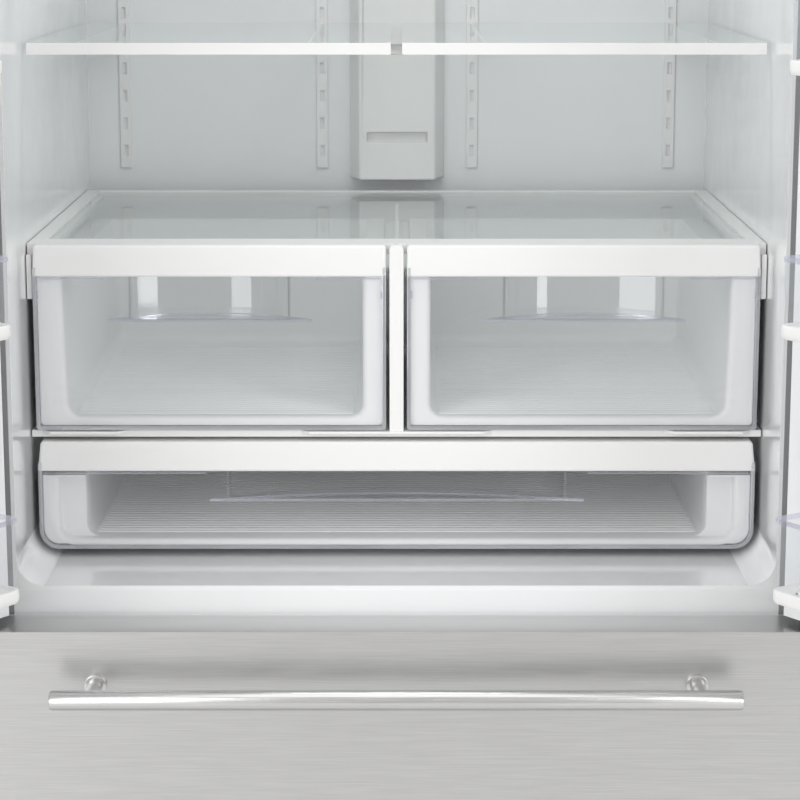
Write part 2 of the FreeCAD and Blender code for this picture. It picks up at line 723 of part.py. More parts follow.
def drawer_front(name, across, low, fascia_low, corner, scoop):
    """A clear front: a plate with a rim behind it, a tongue on top and a hand scoop."""
    middle, half, depth, drop = scoop
    outer, inner = across
    piece = Piece(name)
    left, right, bottom = outer + " + front_wall", inner + " - front_wall", low + " + front_wall"
    piece.pad("Y", ("plane", "plane + front_return"),
              rounded(across, (low, fascia_low), corner, top=False))
    piece.pocket("Y", ("plane + front_wall", "plane + front_return"),
                 rounded((left, right), (bottom, fascia_low), corner + " - front_wall", top=False))
    piece.pad("Y", ("plane + front_wall", "tongue_back"),
              rectangle((left + " + tongue_inset", right + " - tongue_inset"),
                        (fascia_low + " - 5", fascia_low + " + tongue")))
    ledge = "%s - %s" % (fascia_low, drop)
    rise = fascia_low + " + tongue"
    edge = "plane + front_wall"
    piece.pad("Z", (ledge + " - pan_wall", rise),
              bow(middle, edge, half + " + pan_wall", depth + " + pan_wall"))
    piece.pocket("Z", (ledge, rise), bow(middle, edge, half, depth))
    top_half = half + " - scoop_taper"
    piece.pocket("Y", ("plane", "tongue_back"),
                 polygon(("(%s) - (%s) + 2" % (middle, half), ledge),
                         ("(%s) + (%s) - 2" % (middle, half), ledge),
                         ("(%s) + (%s)" % (middle, top_half), fascia_low),
                         ("(%s) + (%s)" % (middle, top_half), rise),
                         ("(%s) - (%s)" % (middle, top_half), rise),
                         ("(%s) - (%s)" % (middle, top_half), fascia_low)))
    piece.done(name)


def fascia(name, across, tapers, low, high, depth):
    """A long cap, open behind and below."""
    left, right = across
    piece = Piece(name)
    piece.pad("Y", ("plane", "plane + " + depth),
              polygon((left, low), (right, low), ("%s - %s" % (right, tapers[1]), high),
                      ("%s + %s" % (left, tapers[0]), high)))
    roof = high + " - fascia_wall"
    piece.pocket("Y", ("plane + fascia_wall", "plane + " + depth),
                 polygon((left + " + fascia_wall", low), (right + " - fascia_wall", low),
                         ("%s - fascia_wall - %s" % (right, tapers[1]), roof),
                         ("%s + fascia_wall + %s" % (left, tapers[0]), roof)))
    piece.round("fascia_wall - 0.4", "x", {"y": "plane", "z": high})
    piece.done(name)


def crisper(side):
    """A vegetable drawer.  Its outer wall leans in a little towards the floor."""
    word = "right" if side > 0 else "left"
    across = side_span(side, "crisper_inner", "crisper_outer")
    tapers = ("0", "end_taper") if side > 0 else ("end_taper", "0")
    fascia_low = "crisper_top - fascia_height"
    middle = "(crisper_inner + crisper_outer)/2"
    middle = middle if side > 0 else less(middle)
    fascia(word + "_crisper_fascia", across, tapers, fascia_low, "crisper_top",
           "crisper_fascia_depth")
    drawer_front(word + "_crisper_front", across, "crisper_low", fascia_low, "crisper_corner",
                 (middle, "scoop_half", "scoop_depth", "scoop_drop"))

    inside = "crisper_inner + flange_width"
    outside = "crisper_outer - front_wall - flange_gap - flange_width"
    flange = side_span(side, "crisper_inner + front_wall + flange_gap",
                       "crisper_outer - front_wall - flange_gap")
    under, floor = "crisper_low + pan_lift", "crisper_low + pan_lift + pan_wall"
    lean = ("0", "pan_draft") if side > 0 else ("pan_draft", "0")
    piece = Piece(word + "_crisper_pan")
    piece.pad("Y", ("flange_plane", "pan_back"),
              rounded(side_span(side, inside + " - pan_wall", outside + " + pan_wall"),
                      (under, "pan_top"), "pan_corner + pan_wall", top=False, lean=lean))
    piece.pad("Y", ("flange_plane", "flange_plane + pan_wall"),
              rectangle(flange, ("crisper_low + front_wall + flange_gap", "pan_top")))
    piece.pad("Y", ("flange_plane", "pan_back"),
              rectangle(flange, ("pan_top - pan_wall", "pan_top")))
    piece.pocket("Y", ("flange_plane", "pan_back - pan_wall"),
                 rounded(side_span(side, inside, outside), (floor, "pan_top"), "pan_corner",
                         top=False, lean=lean))
    piece.done(word + "_crisper_pan")


def deli_drawer():
    """The wide drawer.  Its body steps in at each side below a shoulder."""
    fascia_low = "deli_top - fascia_height + 1"
    across = both("crisper_outer")
    fascia("deli_fascia", across, ("deli_taper", "deli_taper"), fascia_low, "deli_top",
           "deli_fascia_depth")
    drawer_front("deli_front", across, "deli_low", fascia_low, "deli_corner",
                 ("0", "deli_scoop_half", "deli_scoop_depth", "deli_scoop_drop"))
    wide = "crisper_outer - front_wall - flange_gap - 18"
    narrow = wide + " - shoulder_width"
    under, floor = "deli_low + 7", "deli_low + 7 + pan_wall"
    step = "deli_pan_top - shoulder_drop"
    box_front = "flange_plane + shoulder_setback"
    piece = Piece("deli_pan")
    piece.pad("Y", ("flange_plane", box_front + " + pan_wall"),
              rectangle(both(wide + " + pan_wall"), (under, "deli_pan_top")))
    piece.pad("Y", (box_front + " + pan_wall", "pan_back"),
              polygon((less(narrow + " + pan_wall"), under), (narrow + " + pan_wall", under),
                      (narrow + " + pan_wall", step), (wide + " + pan_wall", step),
                      (wide + " + pan_wall", "deli_pan_top"),
                      (less(wide + " + pan_wall"), "deli_pan_top"),
                      (less(wide + " + pan_wall"), step), (less(narrow + " + pan_wall"), step)))
    rim = "crisper_outer - front_wall - flange_gap"
    piece.pad("Y", ("flange_plane", "flange_plane + pan_wall"),
              rounded(both(rim), ("deli_low + front_wall + flange_gap", "deli_pan_top"),
                      "deli_corner - front_wall - flange_gap"))
    piece.pad("Y", ("flange_plane", "pan_back"),
              rectangle(both(rim), ("deli_pan_top - pan_wall", "deli_pan_top")))
    piece.pocket("Y", ("flange_plane", box_front),
                 rectangle(both(wide), (floor, "deli_pan_top")))
    piece.pocket("Y", (box_front, "pan_back - pan_wall"),
                 polygon((less(narrow), floor), (narrow, floor),
                         (narrow, step + " + pan_wall"), (wide, step + " + pan_wall"),
                         (wide, "deli_pan_top"), (less(wide), "deli_pan_top"),
                         (less(wide), step + " + pan_wall"), (less(narrow), step + " + pan_wall")))
    piece.done("deli_pan")


# The doors, each in its own frame: the hinge axis is at the origin ------------------------

def bin_levels():
    """The underside and height of each door bin."""
    spread = "(door_top - crisper_top + bin_below_crisper)/3"
    middle = "crisper_top - bin_below_crisper"
    return [("dike_low + dike_width + low_bin_rise", "low_bin_height"), (middle, "bin_height"),
            (middle + " + " + spread, "bin_height"), (middle + " + 2*" + spread, "bin_height")]


def door(side):
    word = "right" if side > 0 else "left"

    def across(low, high):
        return side_span(-side, low, high)

    def at(text):
        return text if side < 0 else less(text)

    tall = ("door_bottom", "door_top")
    wide = across("-hinge_inset", "door_reach")
    plate = "door_back - liner_thick"
    skin = Piece(word + "_door_skin")
    skin.pad("Y", ("door_face", plate), rectangle(wide, tall))
    skin.round("6", "z", {"x": at("door_reach"), "y": "door_face"},
               {"x": at("-hinge_inset"), "y": "door_face"})
    inside = across("-hinge_inset + sheet_steel", "door_reach - sheet_steel")
    hollow = ("door_bottom + sheet_steel", "door_top - sheet_steel")
    skin.pocket("Y", ("door_face + sheet_steel", plate), rectangle(inside, hollow))
    skin.pocket("Z", ("door_bottom - 1", "door_top + 1"), circle("0", "0", "pin_radius + pin_fit"))
    skin.done(word + "_door_skin", side)

    foam = Piece(word + "_door_foam")
    foam.pad("Y", ("door_face + sheet_steel", plate), rectangle(inside, hollow))
    foam.round("6", "z", {"x": at("door_reach - sheet_steel"), "y": "door_face + sheet_steel"},
               {"x": at("sheet_steel - hinge_inset"), "y": "door_face + sheet_steel"})
    for bore in (("door_bottom", "door_bottom + pin_length + 1"),
                 ("door_top - pin_length - 1", "door_top")):
        foam.pocket("Z", bore, circle("0", "0", "pin_radius + pin_fit"))
    foam.done(word + "_door_foam", side)

    liner = Piece(word + "_door_liner")
    top_of_dike = "door_back + dike_height"
    outer = across("dike_out", "dike_in"), ("dike_low", "dike_high")
    core = (across("dike_out + dike_width", "dike_in - dike_width"),
            ("dike_low + dike_width", "dike_high - dike_width"))
    liner.pad("Y", (plate, "door_back"), rectangle(wide, tall))
    liner.pad("Y", ("door_back", top_of_dike), rectangle(*outer))
    liner.pocket("Y", ("door_back", top_of_dike), rectangle(*core))
    places = [{"x": at(x), "y": top_of_dike} for x in
              ("dike_out", "dike_in", "dike_out + dike_width", "dike_in - dike_width")]
    liner.round("dike_round", "z", *places)
    liner.pocket("Y", (plate, top_of_dike + " - liner_thick"),
                 rectangle(across("dike_out + liner_thick", "dike_in - liner_thick"),
                           ("dike_low + liner_thick", "dike_high - liner_thick")),
                 rectangle(across("dike_out + dike_width - liner_thick",
                                  "dike_in - dike_width + liner_thick"),
                           ("dike_low + dike_width - liner_thick",
                            "dike_high - dike_width + liner_thick")))
    if side < 0:
        lug = across("flap_x - knuckle_radius", "flap_x + knuckle_radius")
        low_lug = ("flap_low - lug_height - 1", "flap_low - 1")
        high_lug = ("flap_high + 1", "flap_high + 1 + lug_height")
        for lug_span, pin in ((low_lug, ("flap_low - 1", "flap_low + 7")),
                              (high_lug, ("flap_high - 7", "flap_high + 1"))):
            liner.pad("Z", lug_span, rectangle(lug, ("door_back", "flap_y + knuckle_radius")))
            liner.pad("Z", pin, circle("flap_x", "flap_y", "flap_pin"))
    liner.done(word + "_door_liner", side)

    gasket = Piece(word + "_door_gasket")
    edges = across("gasket_inset", "door_reach - gasket_inset"), ("door_bottom + 5", "door_top - 18")
    middle = (across("gasket_inset + gasket_width", "door_reach - gasket_inset - gasket_width"),
              ("door_bottom + 5 + gasket_width", "door_top - 18 - gasket_width"))
    gasket.pad("Y", ("door_back", "seal_plane - 0.3"), rectangle(*edges), rectangle(*middle))
    gasket.done(word + "_door_gasket", side)

    grip = at("door_reach - handle_inset")
    handle = Piece(word + "_door_handle")
    handle.pad("Z", ("door_bottom + handle_end", "door_top - handle_end - 60"),
               circle(grip, "door_face - handle_standoff", "handle_radius"))
    for z in ("door_bottom + handle_end + 40", "door_top - handle_end - 100"):
        handle.pad("Y", ("door_face - handle_standoff", "door_face"),
                   circle(grip, z, "handle_radius - 2"))
    handle.done(word + "_door_handle", side)

    span = across("dike_out + dike_width + bin_clear", "dike_in - dike_width - bin_clear")
    left, right = span
    front, rear = "door_back + bin_reach", "door_back"
    bases, walls = Piece(word + "_door_bin_bases"), Piece(word + "_door_bin_walls")
    for low, height in bin_levels():
        rim = "%s + bin_base" % low
        bases.pad("Z", (low, rim), rectangle(span, (rear, front)))
        walls.pad("Z", (rim, "%s + %s" % (low, height)),
                  polygon((left, rear), (left, front), (right, front), (right, rear),
                          (right + " - bin_wall", rear), (right + " - bin_wall", front + " - bin_wall"),
                          (left + " + bin_wall", front + " - bin_wall"), (left + " + bin_wall", rear)))
    for low, height in bin_levels():
        bases.pocket("Z", (low, low + " + bin_base - bin_wall"),
                     rectangle((left + " + bin_wall", right + " - bin_wall"),
                               (rear + " + bin_wall", front + " - bin_wall")))
    bases.done(word + "_door_bin_bases", side)
    walls.done(word + "_door_bin_walls", side)


def centre_flap():
    """The hinged upright on the left door, folded back beside the dike while the door is open."""
    piece = Piece("centre_flap")
    tall = ("flap_low", "flap_high")
    near, far = "flap_y + flap_arm", "flap_y + flap_arm + 2*flap_half"
    piece.pad("Z", tall, rectangle(("flap_x - flap_thick/2", "flap_x + flap_thick/2"), (near, far)))
    piece.pad("Z", tall, circle("flap_x", "flap_y", "knuckle_radius"))
    for bore in (("flap_low", "flap_low + 8"), ("flap_high - 8", "flap_high")):
        piece.pocket("Z", bore, circle("flap_x", "flap_y", "flap_pin + pin_fit"))
    piece.done("centre_flap", -1)


# The freezer drawer ---------------------------------------------------------------------

def freezer_drawer():
    wide, tall = both("half - door_gap/2"), ("drawer_low", "drawer_top")
    plate = "drawer_rear - liner_thick"
    skin = Piece("freezer_drawer_skin")
    skin.pad("Y", ("drawer_front", plate), rectangle(wide, tall))
    skin.round("6", "z", {"x": wide[0], "y": "drawer_front"}, {"x": wide[1], "y": "drawer_front"})
    inside = both("half - door_gap/2 - sheet_steel")
    hollow = ("drawer_low + sheet_steel", "drawer_top - sheet_steel")
    skin.pocket("Y", ("drawer_front + sheet_steel", plate), rectangle(inside, hollow))
    skin.done("freezer_drawer_skin")

    foam = Piece("freezer_drawer_foam")
    foam.pad("Y", ("drawer_front + sheet_steel", plate), rectangle(inside, hollow))
    foam.round("6", "z", {"x": inside[0], "y": "drawer_front + sheet_steel"},
               {"x": inside[1], "y": "drawer_front + sheet_steel"})
    foam.done("freezer_drawer_foam")

    liner = Piece("freezer_drawer_liner")
    liner.pad("Y", (plate, "drawer_rear"), rectangle(wide, tall))
    liner.pad("Y", ("drawer_rear", "drawer_rear + freezer_dike"),
              rounded(both("half - freezer_dike_inset"),
                      ("freezer_floor + 25", "freezer_ceiling - 25"), "20"))
    liner.done("freezer_drawer_liner")

    gasket = Piece("freezer_gasket")
    reach, edge = "half - 30", ("drawer_low + 5", "drawer_top - 12")
    gasket.pad("Y", ("drawer_rear", "front - 0.3"), rectangle(both(reach), edge),
               rectangle(both(reach + " - gasket_width"),
                         (edge[0] + " + gasket_width", edge[1] + " - gasket_width")))
    gasket.done("freezer_gasket")

    handle = Piece("freezer_handle")
    level = "drawer_top - 55"
    handle.pad("X", both("half - 110"),
               circle("drawer_front - handle_standoff", level, "handle_radius"))
    for x in ("half - 150", "150 - half"):
        handle.pad("Y", ("drawer_front - handle_standoff", "drawer_front"),
                   circle(x, level, "handle_radius - 2"))
    handle.done("freezer_handle")


def freezer_rails():
    """Fixed channels on the freezer's side walls, and the runners that slide in them."""
    rails, runners = Piece("freezer_rails"), Piece("drawer_runners")
    low, high = "rail_level - rail_height/2", "rail_level + rail_height/2"
    for side in (-1, 1):
        outer = "freezer_inner"
        inner = "freezer_inner - rail_width"
        points = [(outer, low), (outer, high), (inner, high), (inner, "%s - 4" % high),
                  (outer + " - 3", "%s - 4" % high), (outer + " - 3", "%s + 4" % low),
                  (inner, "%s + 4" % low), (inner, low)]
        if side < 0:
            points = [(less(x), z) for x, z in points]
        rails.pad("Y", ("front + 20", "rail_back - 20"), polygon(*points))
        runners.pad("Y", ("drawer_rear", "rail_back - 30"),
                    rectangle(side_span(side, inner + " - 16", outer + " - 4"),
                              (low + " + 4.5", high + " - 4.5")))
    rails.done("freezer_rails")
    runners.done("drawer_runners")


def basket(name, half, start, stop, low, high, lip, lip_top):
    """An open box whose rim rests on what carries it at each side."""
    piece = Piece(name)
    piece.pad("Z", (low, high), rectangle(both(half), (start, stop)))
    piece.pad("Z", (lip_top + " - basket_wall", lip_top), rectangle(both(lip), (start, stop)))
    piece.pocket("Z", (low + " + basket_wall", high),
                 rectangle(both(half + " - basket_wall"),
                           (start + " + basket_wall", stop + " - basket_wall")))
    piece.done(name)


def baskets():
    runner_top = "rail_level + rail_height/2 - 4.5"
    basket("lower_basket", "basket_half", "drawer_rear + freezer_dike + 4", "step_front - step_wall - 20",
           "low_basket_floor", "low_basket_floor + low_basket_height", "freezer_inner - rail_width - 1",
           runner_top + " + basket_wall")
    basket("upper_basket", "basket_half + 20", "front + 30", "inner_back - 70", "up_basket_floor",
           "up_basket_floor + up_basket_height", "freezer_inner - 2",
           "up_basket_floor + up_basket_height")


def evaporator():
    fins = Piece("evaporator")
    fins.pad("Y", ("inner_back - 42", "inner_back"),
             rectangle(both("260"), ("step_top + step_top_wall + 30", "freezer_ceiling - 60")))
    fins.done("evaporator")
    cover = Piece("evaporator_cover")
    face = ("inner_back - 52", "inner_back - 49")
    high = ("step_top + step_top_wall + 2", "freezer_ceiling - 20")
    cover.pad("Y", (face[0], "inner_back"), rectangle(both("300"), high))
    cover.pocket("Y", (face[1], "inner_back"),
                 rectangle(both("297"), (high[0] + " + 3", high[1] + " - 3")))
    cover.pocket("Y", face, rectangle(both("200"), (high[1] + " - 30", high[1] + " - 24")))
    cover.done("evaporator_cover")


# The machine compartment ----------------------------------------------------------------

def machine_parts():
    floor = "case_bottom + sheet_steel"
    middle = "(step_front + back)/2"
    compressor = Piece("compressor")
    compressor.pad("Z", (floor, floor + " + 8"),
                   rounded(("-330", "-150"), (middle + " - 70", middle + " + 70"), "12"))
    compressor.pad("Z", (floor + " + 8", floor + " + 8 + can_height"),
                   circle("-240", middle, "can_radius"))
    compressor.pad("Z", (floor + " + 8 + can_height", floor + " + 20 + can_height"),
                   circle("-240", middle, "can_radius - 14"))
    compressor.done("compressor")

    hub_z = floor + " + 85"
    condenser = Piece("condenser")
    face = rectangle((middle + " - 72", middle + " + 72"), (floor, floor + " + 165"))
    condenser.pad("X", ("80", "350"), face)
    condenser.pad("X", ("62", "80"), face)
    condenser.pocket("X", ("62", "79"), circle(middle, hub_z, "fan_radius + 4"))
    condenser.pad("X", ("66", "80"), circle(middle, hub_z, "fan_hub"))
    condenser.pad("X", ("40", "66"), circle(middle, hub_z, "fan_shaft"))
    condenser.done("condenser")

    fan = Piece("fan_rotor")
    fan.pad("X", ("44", "62"), circle(middle, hub_z, "fan_hub"))
    long = ("%s - fan_radius", "%s + fan_radius")
    short = ("%s - 9", "%s + 9")
    for across, tall in ((short, long), (long, short)):
        fan.pad("X", ("51", "54"), rectangle([text % middle for text in across],
                                             [text % hub_z for text in tall]))
    fan.pocket("X", ("43", "63"), circle(middle, hub_z, "fan_shaft + pin_fit"))
    fan.done("fan_rotor")

    cover = Piece("rear_cover")
    cover.pad("Y", ("skin_back", "back"), rectangle(both("skin_half - 0.5"),
                                                     ("case_bottom + 3", "step_top - 0.5")))
    gland = ("half - 120", "case_bottom + 60")
    cover.pocket("Y", ("skin_back", "back"), circle(*gland, "gland_radius"))
    cover.pocket("Y", ("skin_back", "back"),
                 rectangle(both("half - 160"), ("step_top - 90", "step_top - 90 + slot_height")))
    cover.row("Z", 6, "5*slot_pitch")
    cover.done("rear_cover")

    ring = Piece("cord_gland")
    ring.pad("Y", ("skin_back - 6", "back"), circle(*gland, "gland_radius"))
    ring.pad("Y", ("back", "back + 3"), circle(*gland, "gland_radius + 4"))
    ring.pocket("Y", ("skin_back - 6", "back + 3"), circle(*gland, "gland_radius - 5"))
    ring.done("cord_gland")


BUILDERS = (case_wrapper, back_panel, base_panel, centre_rail, cabinet_foam, fresh_food_liner,
            freezer_liner, toe_grille, levelling_feet, door_hinges, hinge_covers, hinge_screws,
            air_tower, ceiling_console, shelf_ladders, shelf_frames, shelf_glass,
            crisper_cover_frame, crisper_cover_glass, deli_cover, deli_drawer, centre_flap,
            freezer_drawer, freezer_rails, baskets, evaporator, machine_parts)
for build in BUILDERS:
    build()
for side in (-1, 1):
    crisper(side)
    door(side)
doc.recompute()

faults = [o.Name for o in doc.Objects if "Invalid" in o.State or "Error" in o.State]
faults += [p.Label for p in SUBPARTS if p.Shape.isNull() or not p.Shape.isValid()]
if faults:
    raise RuntimeError("these did not build: " + ", ".join(faults))
os.makedirs("parts", exist_ok=True)
for piece in SUBPARTS:
    piece.Shape.exportStep("parts/%s.step" % piece.Label)
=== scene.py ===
import json
import math

import bmesh
import bpy
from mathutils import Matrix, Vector


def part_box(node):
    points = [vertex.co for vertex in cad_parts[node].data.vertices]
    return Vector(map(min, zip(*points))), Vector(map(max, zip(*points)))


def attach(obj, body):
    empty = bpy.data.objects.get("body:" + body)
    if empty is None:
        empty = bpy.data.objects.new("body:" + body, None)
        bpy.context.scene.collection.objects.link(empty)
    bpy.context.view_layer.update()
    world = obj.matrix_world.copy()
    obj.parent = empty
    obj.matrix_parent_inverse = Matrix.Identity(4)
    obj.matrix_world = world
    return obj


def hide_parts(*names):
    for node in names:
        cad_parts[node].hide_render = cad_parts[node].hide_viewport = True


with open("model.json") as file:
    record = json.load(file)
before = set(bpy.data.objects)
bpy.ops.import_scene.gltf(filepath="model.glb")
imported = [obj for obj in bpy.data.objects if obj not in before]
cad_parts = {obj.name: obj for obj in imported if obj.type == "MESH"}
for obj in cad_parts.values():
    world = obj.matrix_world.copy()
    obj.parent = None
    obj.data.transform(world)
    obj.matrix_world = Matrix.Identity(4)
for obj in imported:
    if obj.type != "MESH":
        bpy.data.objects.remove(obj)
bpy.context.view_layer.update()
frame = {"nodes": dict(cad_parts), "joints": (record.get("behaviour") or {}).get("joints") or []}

# A french door refrigerator: two hinged doors over one freezer drawer, open at rest.
# Lengths are metres in the part's own frame: +Z up, front towards -Y, floor at z = 0.

NODES = frame["nodes"]


# ---------------------------------------------------------------- finishes

class Signal:
    """One shader socket that is added, taken away, scaled and raised like a number."""

    def __init__(self, finish, socket):
        self.finish, self.socket = finish, socket

    def maths(self, operation, *values):
        return self.finish.add("Math", {"operation": operation},
                               dict(enumerate(values))).out()

    def __add__(self, other):
        return self.maths("ADD", self, other)

    def __radd__(self, other):
        return self.maths("ADD", other, self)

    def __sub__(self, other):
        return self.maths("SUBTRACT", self, other)

    def __rsub__(self, other):
        return self.maths("SUBTRACT", other, self)

    def __mul__(self, other):
        return self.maths("MULTIPLY", self, other)

    def __rmul__(self, other):
        return self.maths("MULTIPLY", other, self)

    def __pow__(self, other):
        return self.maths("POWER", self, other)

    def least(self, other):
        return self.maths("MINIMUM", self, other)

    def wave(self):
        return self.maths("SINE", self)


class Step:
    """One shader node."""

    def __init__(self, finish, node):
        self.finish, self.node = finish, node

    def out(self, name=0):
        return Signal(self.finish, self.node.outputs[name])


class Finish:
    """One material, built from its nodes."""

    def __init__(self, name):
        self.material = bpy.data.materials.new(name)
        self.material.use_nodes = True
        self.tree = self.material.node_tree
        self.tree.nodes.clear()
        self.place = None

    def add(self, kind, settings=None, inputs=None):
        node = self.tree.nodes.new("ShaderNode" + kind)
        for name, setting in (settings or {}).items():
            setattr(node, name, setting)
        for name, given in (inputs or {}).items():
            if isinstance(given, Signal):
                self.tree.links.new(given.socket, node.inputs[name])
            else:
                node.inputs[name].default_value = given
        return Step(self, node)

    def spot(self, stretch=None):
        """The point on the piece, in metres, stretched along each axis."""
        if self.place is None:
            self.place = self.add("TexCoord").out("Object")
        if stretch is None:
            return self.place
        scaled = self.add("VectorMath", {"operation": "MULTIPLY"},
                          {0: self.place, 1: stretch})
        return scaled.out("Vector")

    def along(self, axis):
        """How far along one axis the point lies."""
        return self.add("SeparateXYZ", None, {"Vector": self.spot()}).out(axis)

    def clouds(self, scale, detail=2.0, stretch=None):
        return self.add("TexNoise", None, {"Vector": self.spot(stretch), "Scale": scale,
                                           "Detail": detail}).out("Fac")

    def cells(self, scale, output="Distance", feature="F1"):
        return self.add("TexVoronoi", {"feature": feature},
                        {"Vector": self.spot(), "Scale": scale}).out(output)

    def tint(self, share, low, high):
        """A colour between two, by share."""
        mixed = self.add("Mix", {"data_type": "RGBA"},
                         {0: share, 6: (*low, 1.0), 7: (*high, 1.0)})
        return mixed.out(2)

    def between(self, share, low, high):
        """A number between two, by share, held inside them."""
        return self.add("MapRange", {"clamp": True},
                        {"Value": share, "From Min": 0.25, "From Max": 0.75,
                         "To Min": low, "To Max": high}).out()

    def relief(self, height, depth, strength=1.0):
        return self.add("Bump", None, {"Height": height, "Distance": depth,
                                       "Strength": strength}).out("Normal")

    def shader(self, **inputs):
        named = {name.replace("_", " "): given for name, given in inputs.items()}
        return self.add("BsdfPrincipled", None, named).out()

    def show(self, shader):
        self.add("OutputMaterial", None, {"Surface": shader})
        return self.material


def moulded(name, pale, deep, gloss, grain, coat=0.0, peel=140.0):
    """An injection-moulded or vacuum-formed plastic with a faint skin texture."""
    f = Finish(name)
    broad = f.clouds(3.0, 3.0)
    fine = f.clouds(peel, 3.0)
    return f.show(f.shader(
        Base_Color=f.tint(f.between(broad, 0.0, 1.0), deep, pale),
        Roughness=f.between(f.clouds(22.0, 4.0), gloss[0], gloss[1]),
        Coat_Weight=coat, Coat_Roughness=0.06, IOR=1.5,
        Normal=f.relief(fine, grain)))


def see_through(name, body_tint, haze, colour, rough):
    """A clear wall: light goes straight through it, and it shines at a slant."""
    f = Finish(name)
    slant = f.add("LayerWeight", None, {"Blend": 0.5}).out("Facing")
    inside = f.add("NewGeometry").out("Backfacing")
    smear = f.between(f.clouds(9.0, 2.0), 0.0, 1.0)
    share = (haze * (0.8 + 0.4 * smear)
             + (0.07 + 0.9 * slant ** 5.0) * (1.0 - 0.7 * inside)).least(1.0)
    gloss = f.shader(Base_Color=f.tint(smear, colour, tuple(min(1.0, c * 1.05) for c in colour)),
                     Roughness=rough + smear * rough, Metallic=0.7)
    clear = f.add("BsdfTransparent", None, {"Color": (*body_tint, 1.0)}).out()
    return f.show(f.add("MixShader", None, {0: share, 1: clear, 2: gloss}).out())


def brushed(name, pale, deep, along, rough):
    """Rolled steel with a fine grain along one axis."""
    f = Finish(name)
    stretch = tuple(1.0 if axis == along else 60.0 for axis in "XYZ")
    lines = f.clouds(18.0, 6.0, stretch)
    smear = f.clouds(2.2, 3.0)
    return f.show(f.shader(
        Base_Color=f.tint(f.between(lines, 0.0, 1.0), deep, pale), Metallic=1.0,
        Roughness=f.between(lines * 0.6 + smear * 0.4, rough[0], rough[1]),
        Normal=f.relief(lines, 0.00004)))


def painted_sheet(name, pale, deep):
    """Pre-painted steel with the small pebbled grain of a cabinet side."""
    f = Finish(name)
    pebbles = f.cells(900.0, feature="SMOOTH_F1")
    return f.show(f.shader(
        Base_Color=f.tint(f.between(f.clouds(4.0, 4.0), 0.0, 1.0), deep, pale),
        Metallic=0.35, Roughness=f.between(f.clouds(260.0), 0.34, 0.5),
        Normal=f.relief(pebbles, 0.0003)))


def zinc_sheet(name, pale, deep):
    """Galvanised steel with its crystal spangle."""
    f = Finish(name)
    spangle = f.add("SeparateColor", None, {"Color": f.cells(190.0, "Color")}).out(0)
    return f.show(f.shader(
        Base_Color=f.tint(spangle, deep, pale), Metallic=0.9,
        Roughness=f.between(spangle, 0.38, 0.46),
        Normal=f.relief(f.clouds(40.0, 3.0), 0.0003)))


def cellular(name, pale, deep):
    """Rigid foam as it rises: closed cells under a thin skin."""
    f = Finish(name)
    bubbles = f.cells(420.0)
    return f.show(f.shader(
        Base_Color=f.tint(bubbles, deep, pale), Roughness=0.85,
        Normal=f.relief(bubbles, 0.0008)))


def soft_seal(name, pale, deep):
    """Flexible vinyl with a dull sheen."""
    f = Finish(name)
    return f.show(f.shader(
        Base_Color=f.tint(f.between(f.clouds(30.0, 4.0), 0.0, 1.0), deep, pale),
        Roughness=f.between(f.clouds(60.0, 3.0), 0.45, 0.62),
        Normal=f.relief(f.clouds(500.0, 2.0), 0.00008)))


def lacquer(name, pale, deep, rough):
    """Baked paint on castings and tubes."""
    f = Finish(name)
    return f.show(f.shader(
        Base_Color=f.tint(f.between(f.clouds(12.0, 4.0), 0.0, 1.0), deep, pale),
        Roughness=f.between(f.clouds(80.0, 3.0), rough, rough * 1.5),
        Coat_Weight=0.4, Coat_Roughness=0.1,
        Normal=f.relief(f.clouds(300.0, 2.0), 0.0001)))


def lit_lens(name, colour, glow):
    """A frosted lens over a small lamp."""
    f = Finish(name)
    ribs = (f.along("X") * 1200.0).wave()
    return f.show(f.shader(
        Base_Color=f.tint(f.between(f.clouds(20.0), 0.0, 1.0), colour,
                          tuple(c * 0.95 for c in colour)),
        Roughness=0.4, Emission_Color=(*colour, 1.0), Emission_Strength=glow,
        Normal=f.relief(ribs, 0.0002)))


LINER = moulded("liner_gloss_white", (0.875, 0.885, 0.89), (0.845, 0.858, 0.868),
                (0.10, 0.2), 0.00005, coat=0.5, peel=70.0)
DRAWER = moulded("drawer_satin_white", (0.88, 0.88, 0.87), (0.85, 0.85, 0.845),
                 (0.28, 0.4), 0.00004, coat=0.15, peel=260.0)
PAN = moulded("pan_milk_white", (0.89, 0.89, 0.885), (0.87, 0.874, 0.874),
              (0.42, 0.5), 0.00003, peel=200.0)
CLEAR = see_through("clear_plastic_wall", (0.985, 0.988, 0.992), 0.018, (0.90, 0.92, 0.95), 0.03)
CLEAR_EDGE = see_through("clear_plastic_edge", (0.90, 0.90, 0.95), 0.26,
                         (0.84, 0.84, 0.91), 0.08)
CLEAR_BORDER = see_through("clear_plastic_border", (0.97, 0.97, 0.98), 0.42,
                           (0.86, 0.87, 0.90), 0.06)
GLASS = see_through("tempered_glass", (0.975, 0.986, 0.984), 0.012, (0.84, 0.88, 0.87), 0.02)
STEEL = brushed("brushed_stainless", (0.66, 0.66, 0.655), (0.56, 0.56, 0.555), "X",
                (0.26, 0.38))
HANDLE_STEEL = brushed("brushed_handle_steel", (0.72, 0.72, 0.715), (0.62, 0.62, 0.615), "Z",
                       (0.2, 0.3))
BAR_STEEL = brushed("brushed_bar_steel", (0.72, 0.72, 0.715), (0.62, 0.62, 0.615), "X",
                    (0.2, 0.3))
SIDE_PAINT = painted_sheet("pebbled_side_paint", (0.34, 0.345, 0.35), (0.31, 0.315, 0.32))
ZINC = zinc_sheet("galvanised_sheet", (0.64, 0.65, 0.66), (0.57, 0.58, 0.595))
FOAM = cellular("rigid_foam", (0.80, 0.74, 0.58), (0.62, 0.55, 0.40))
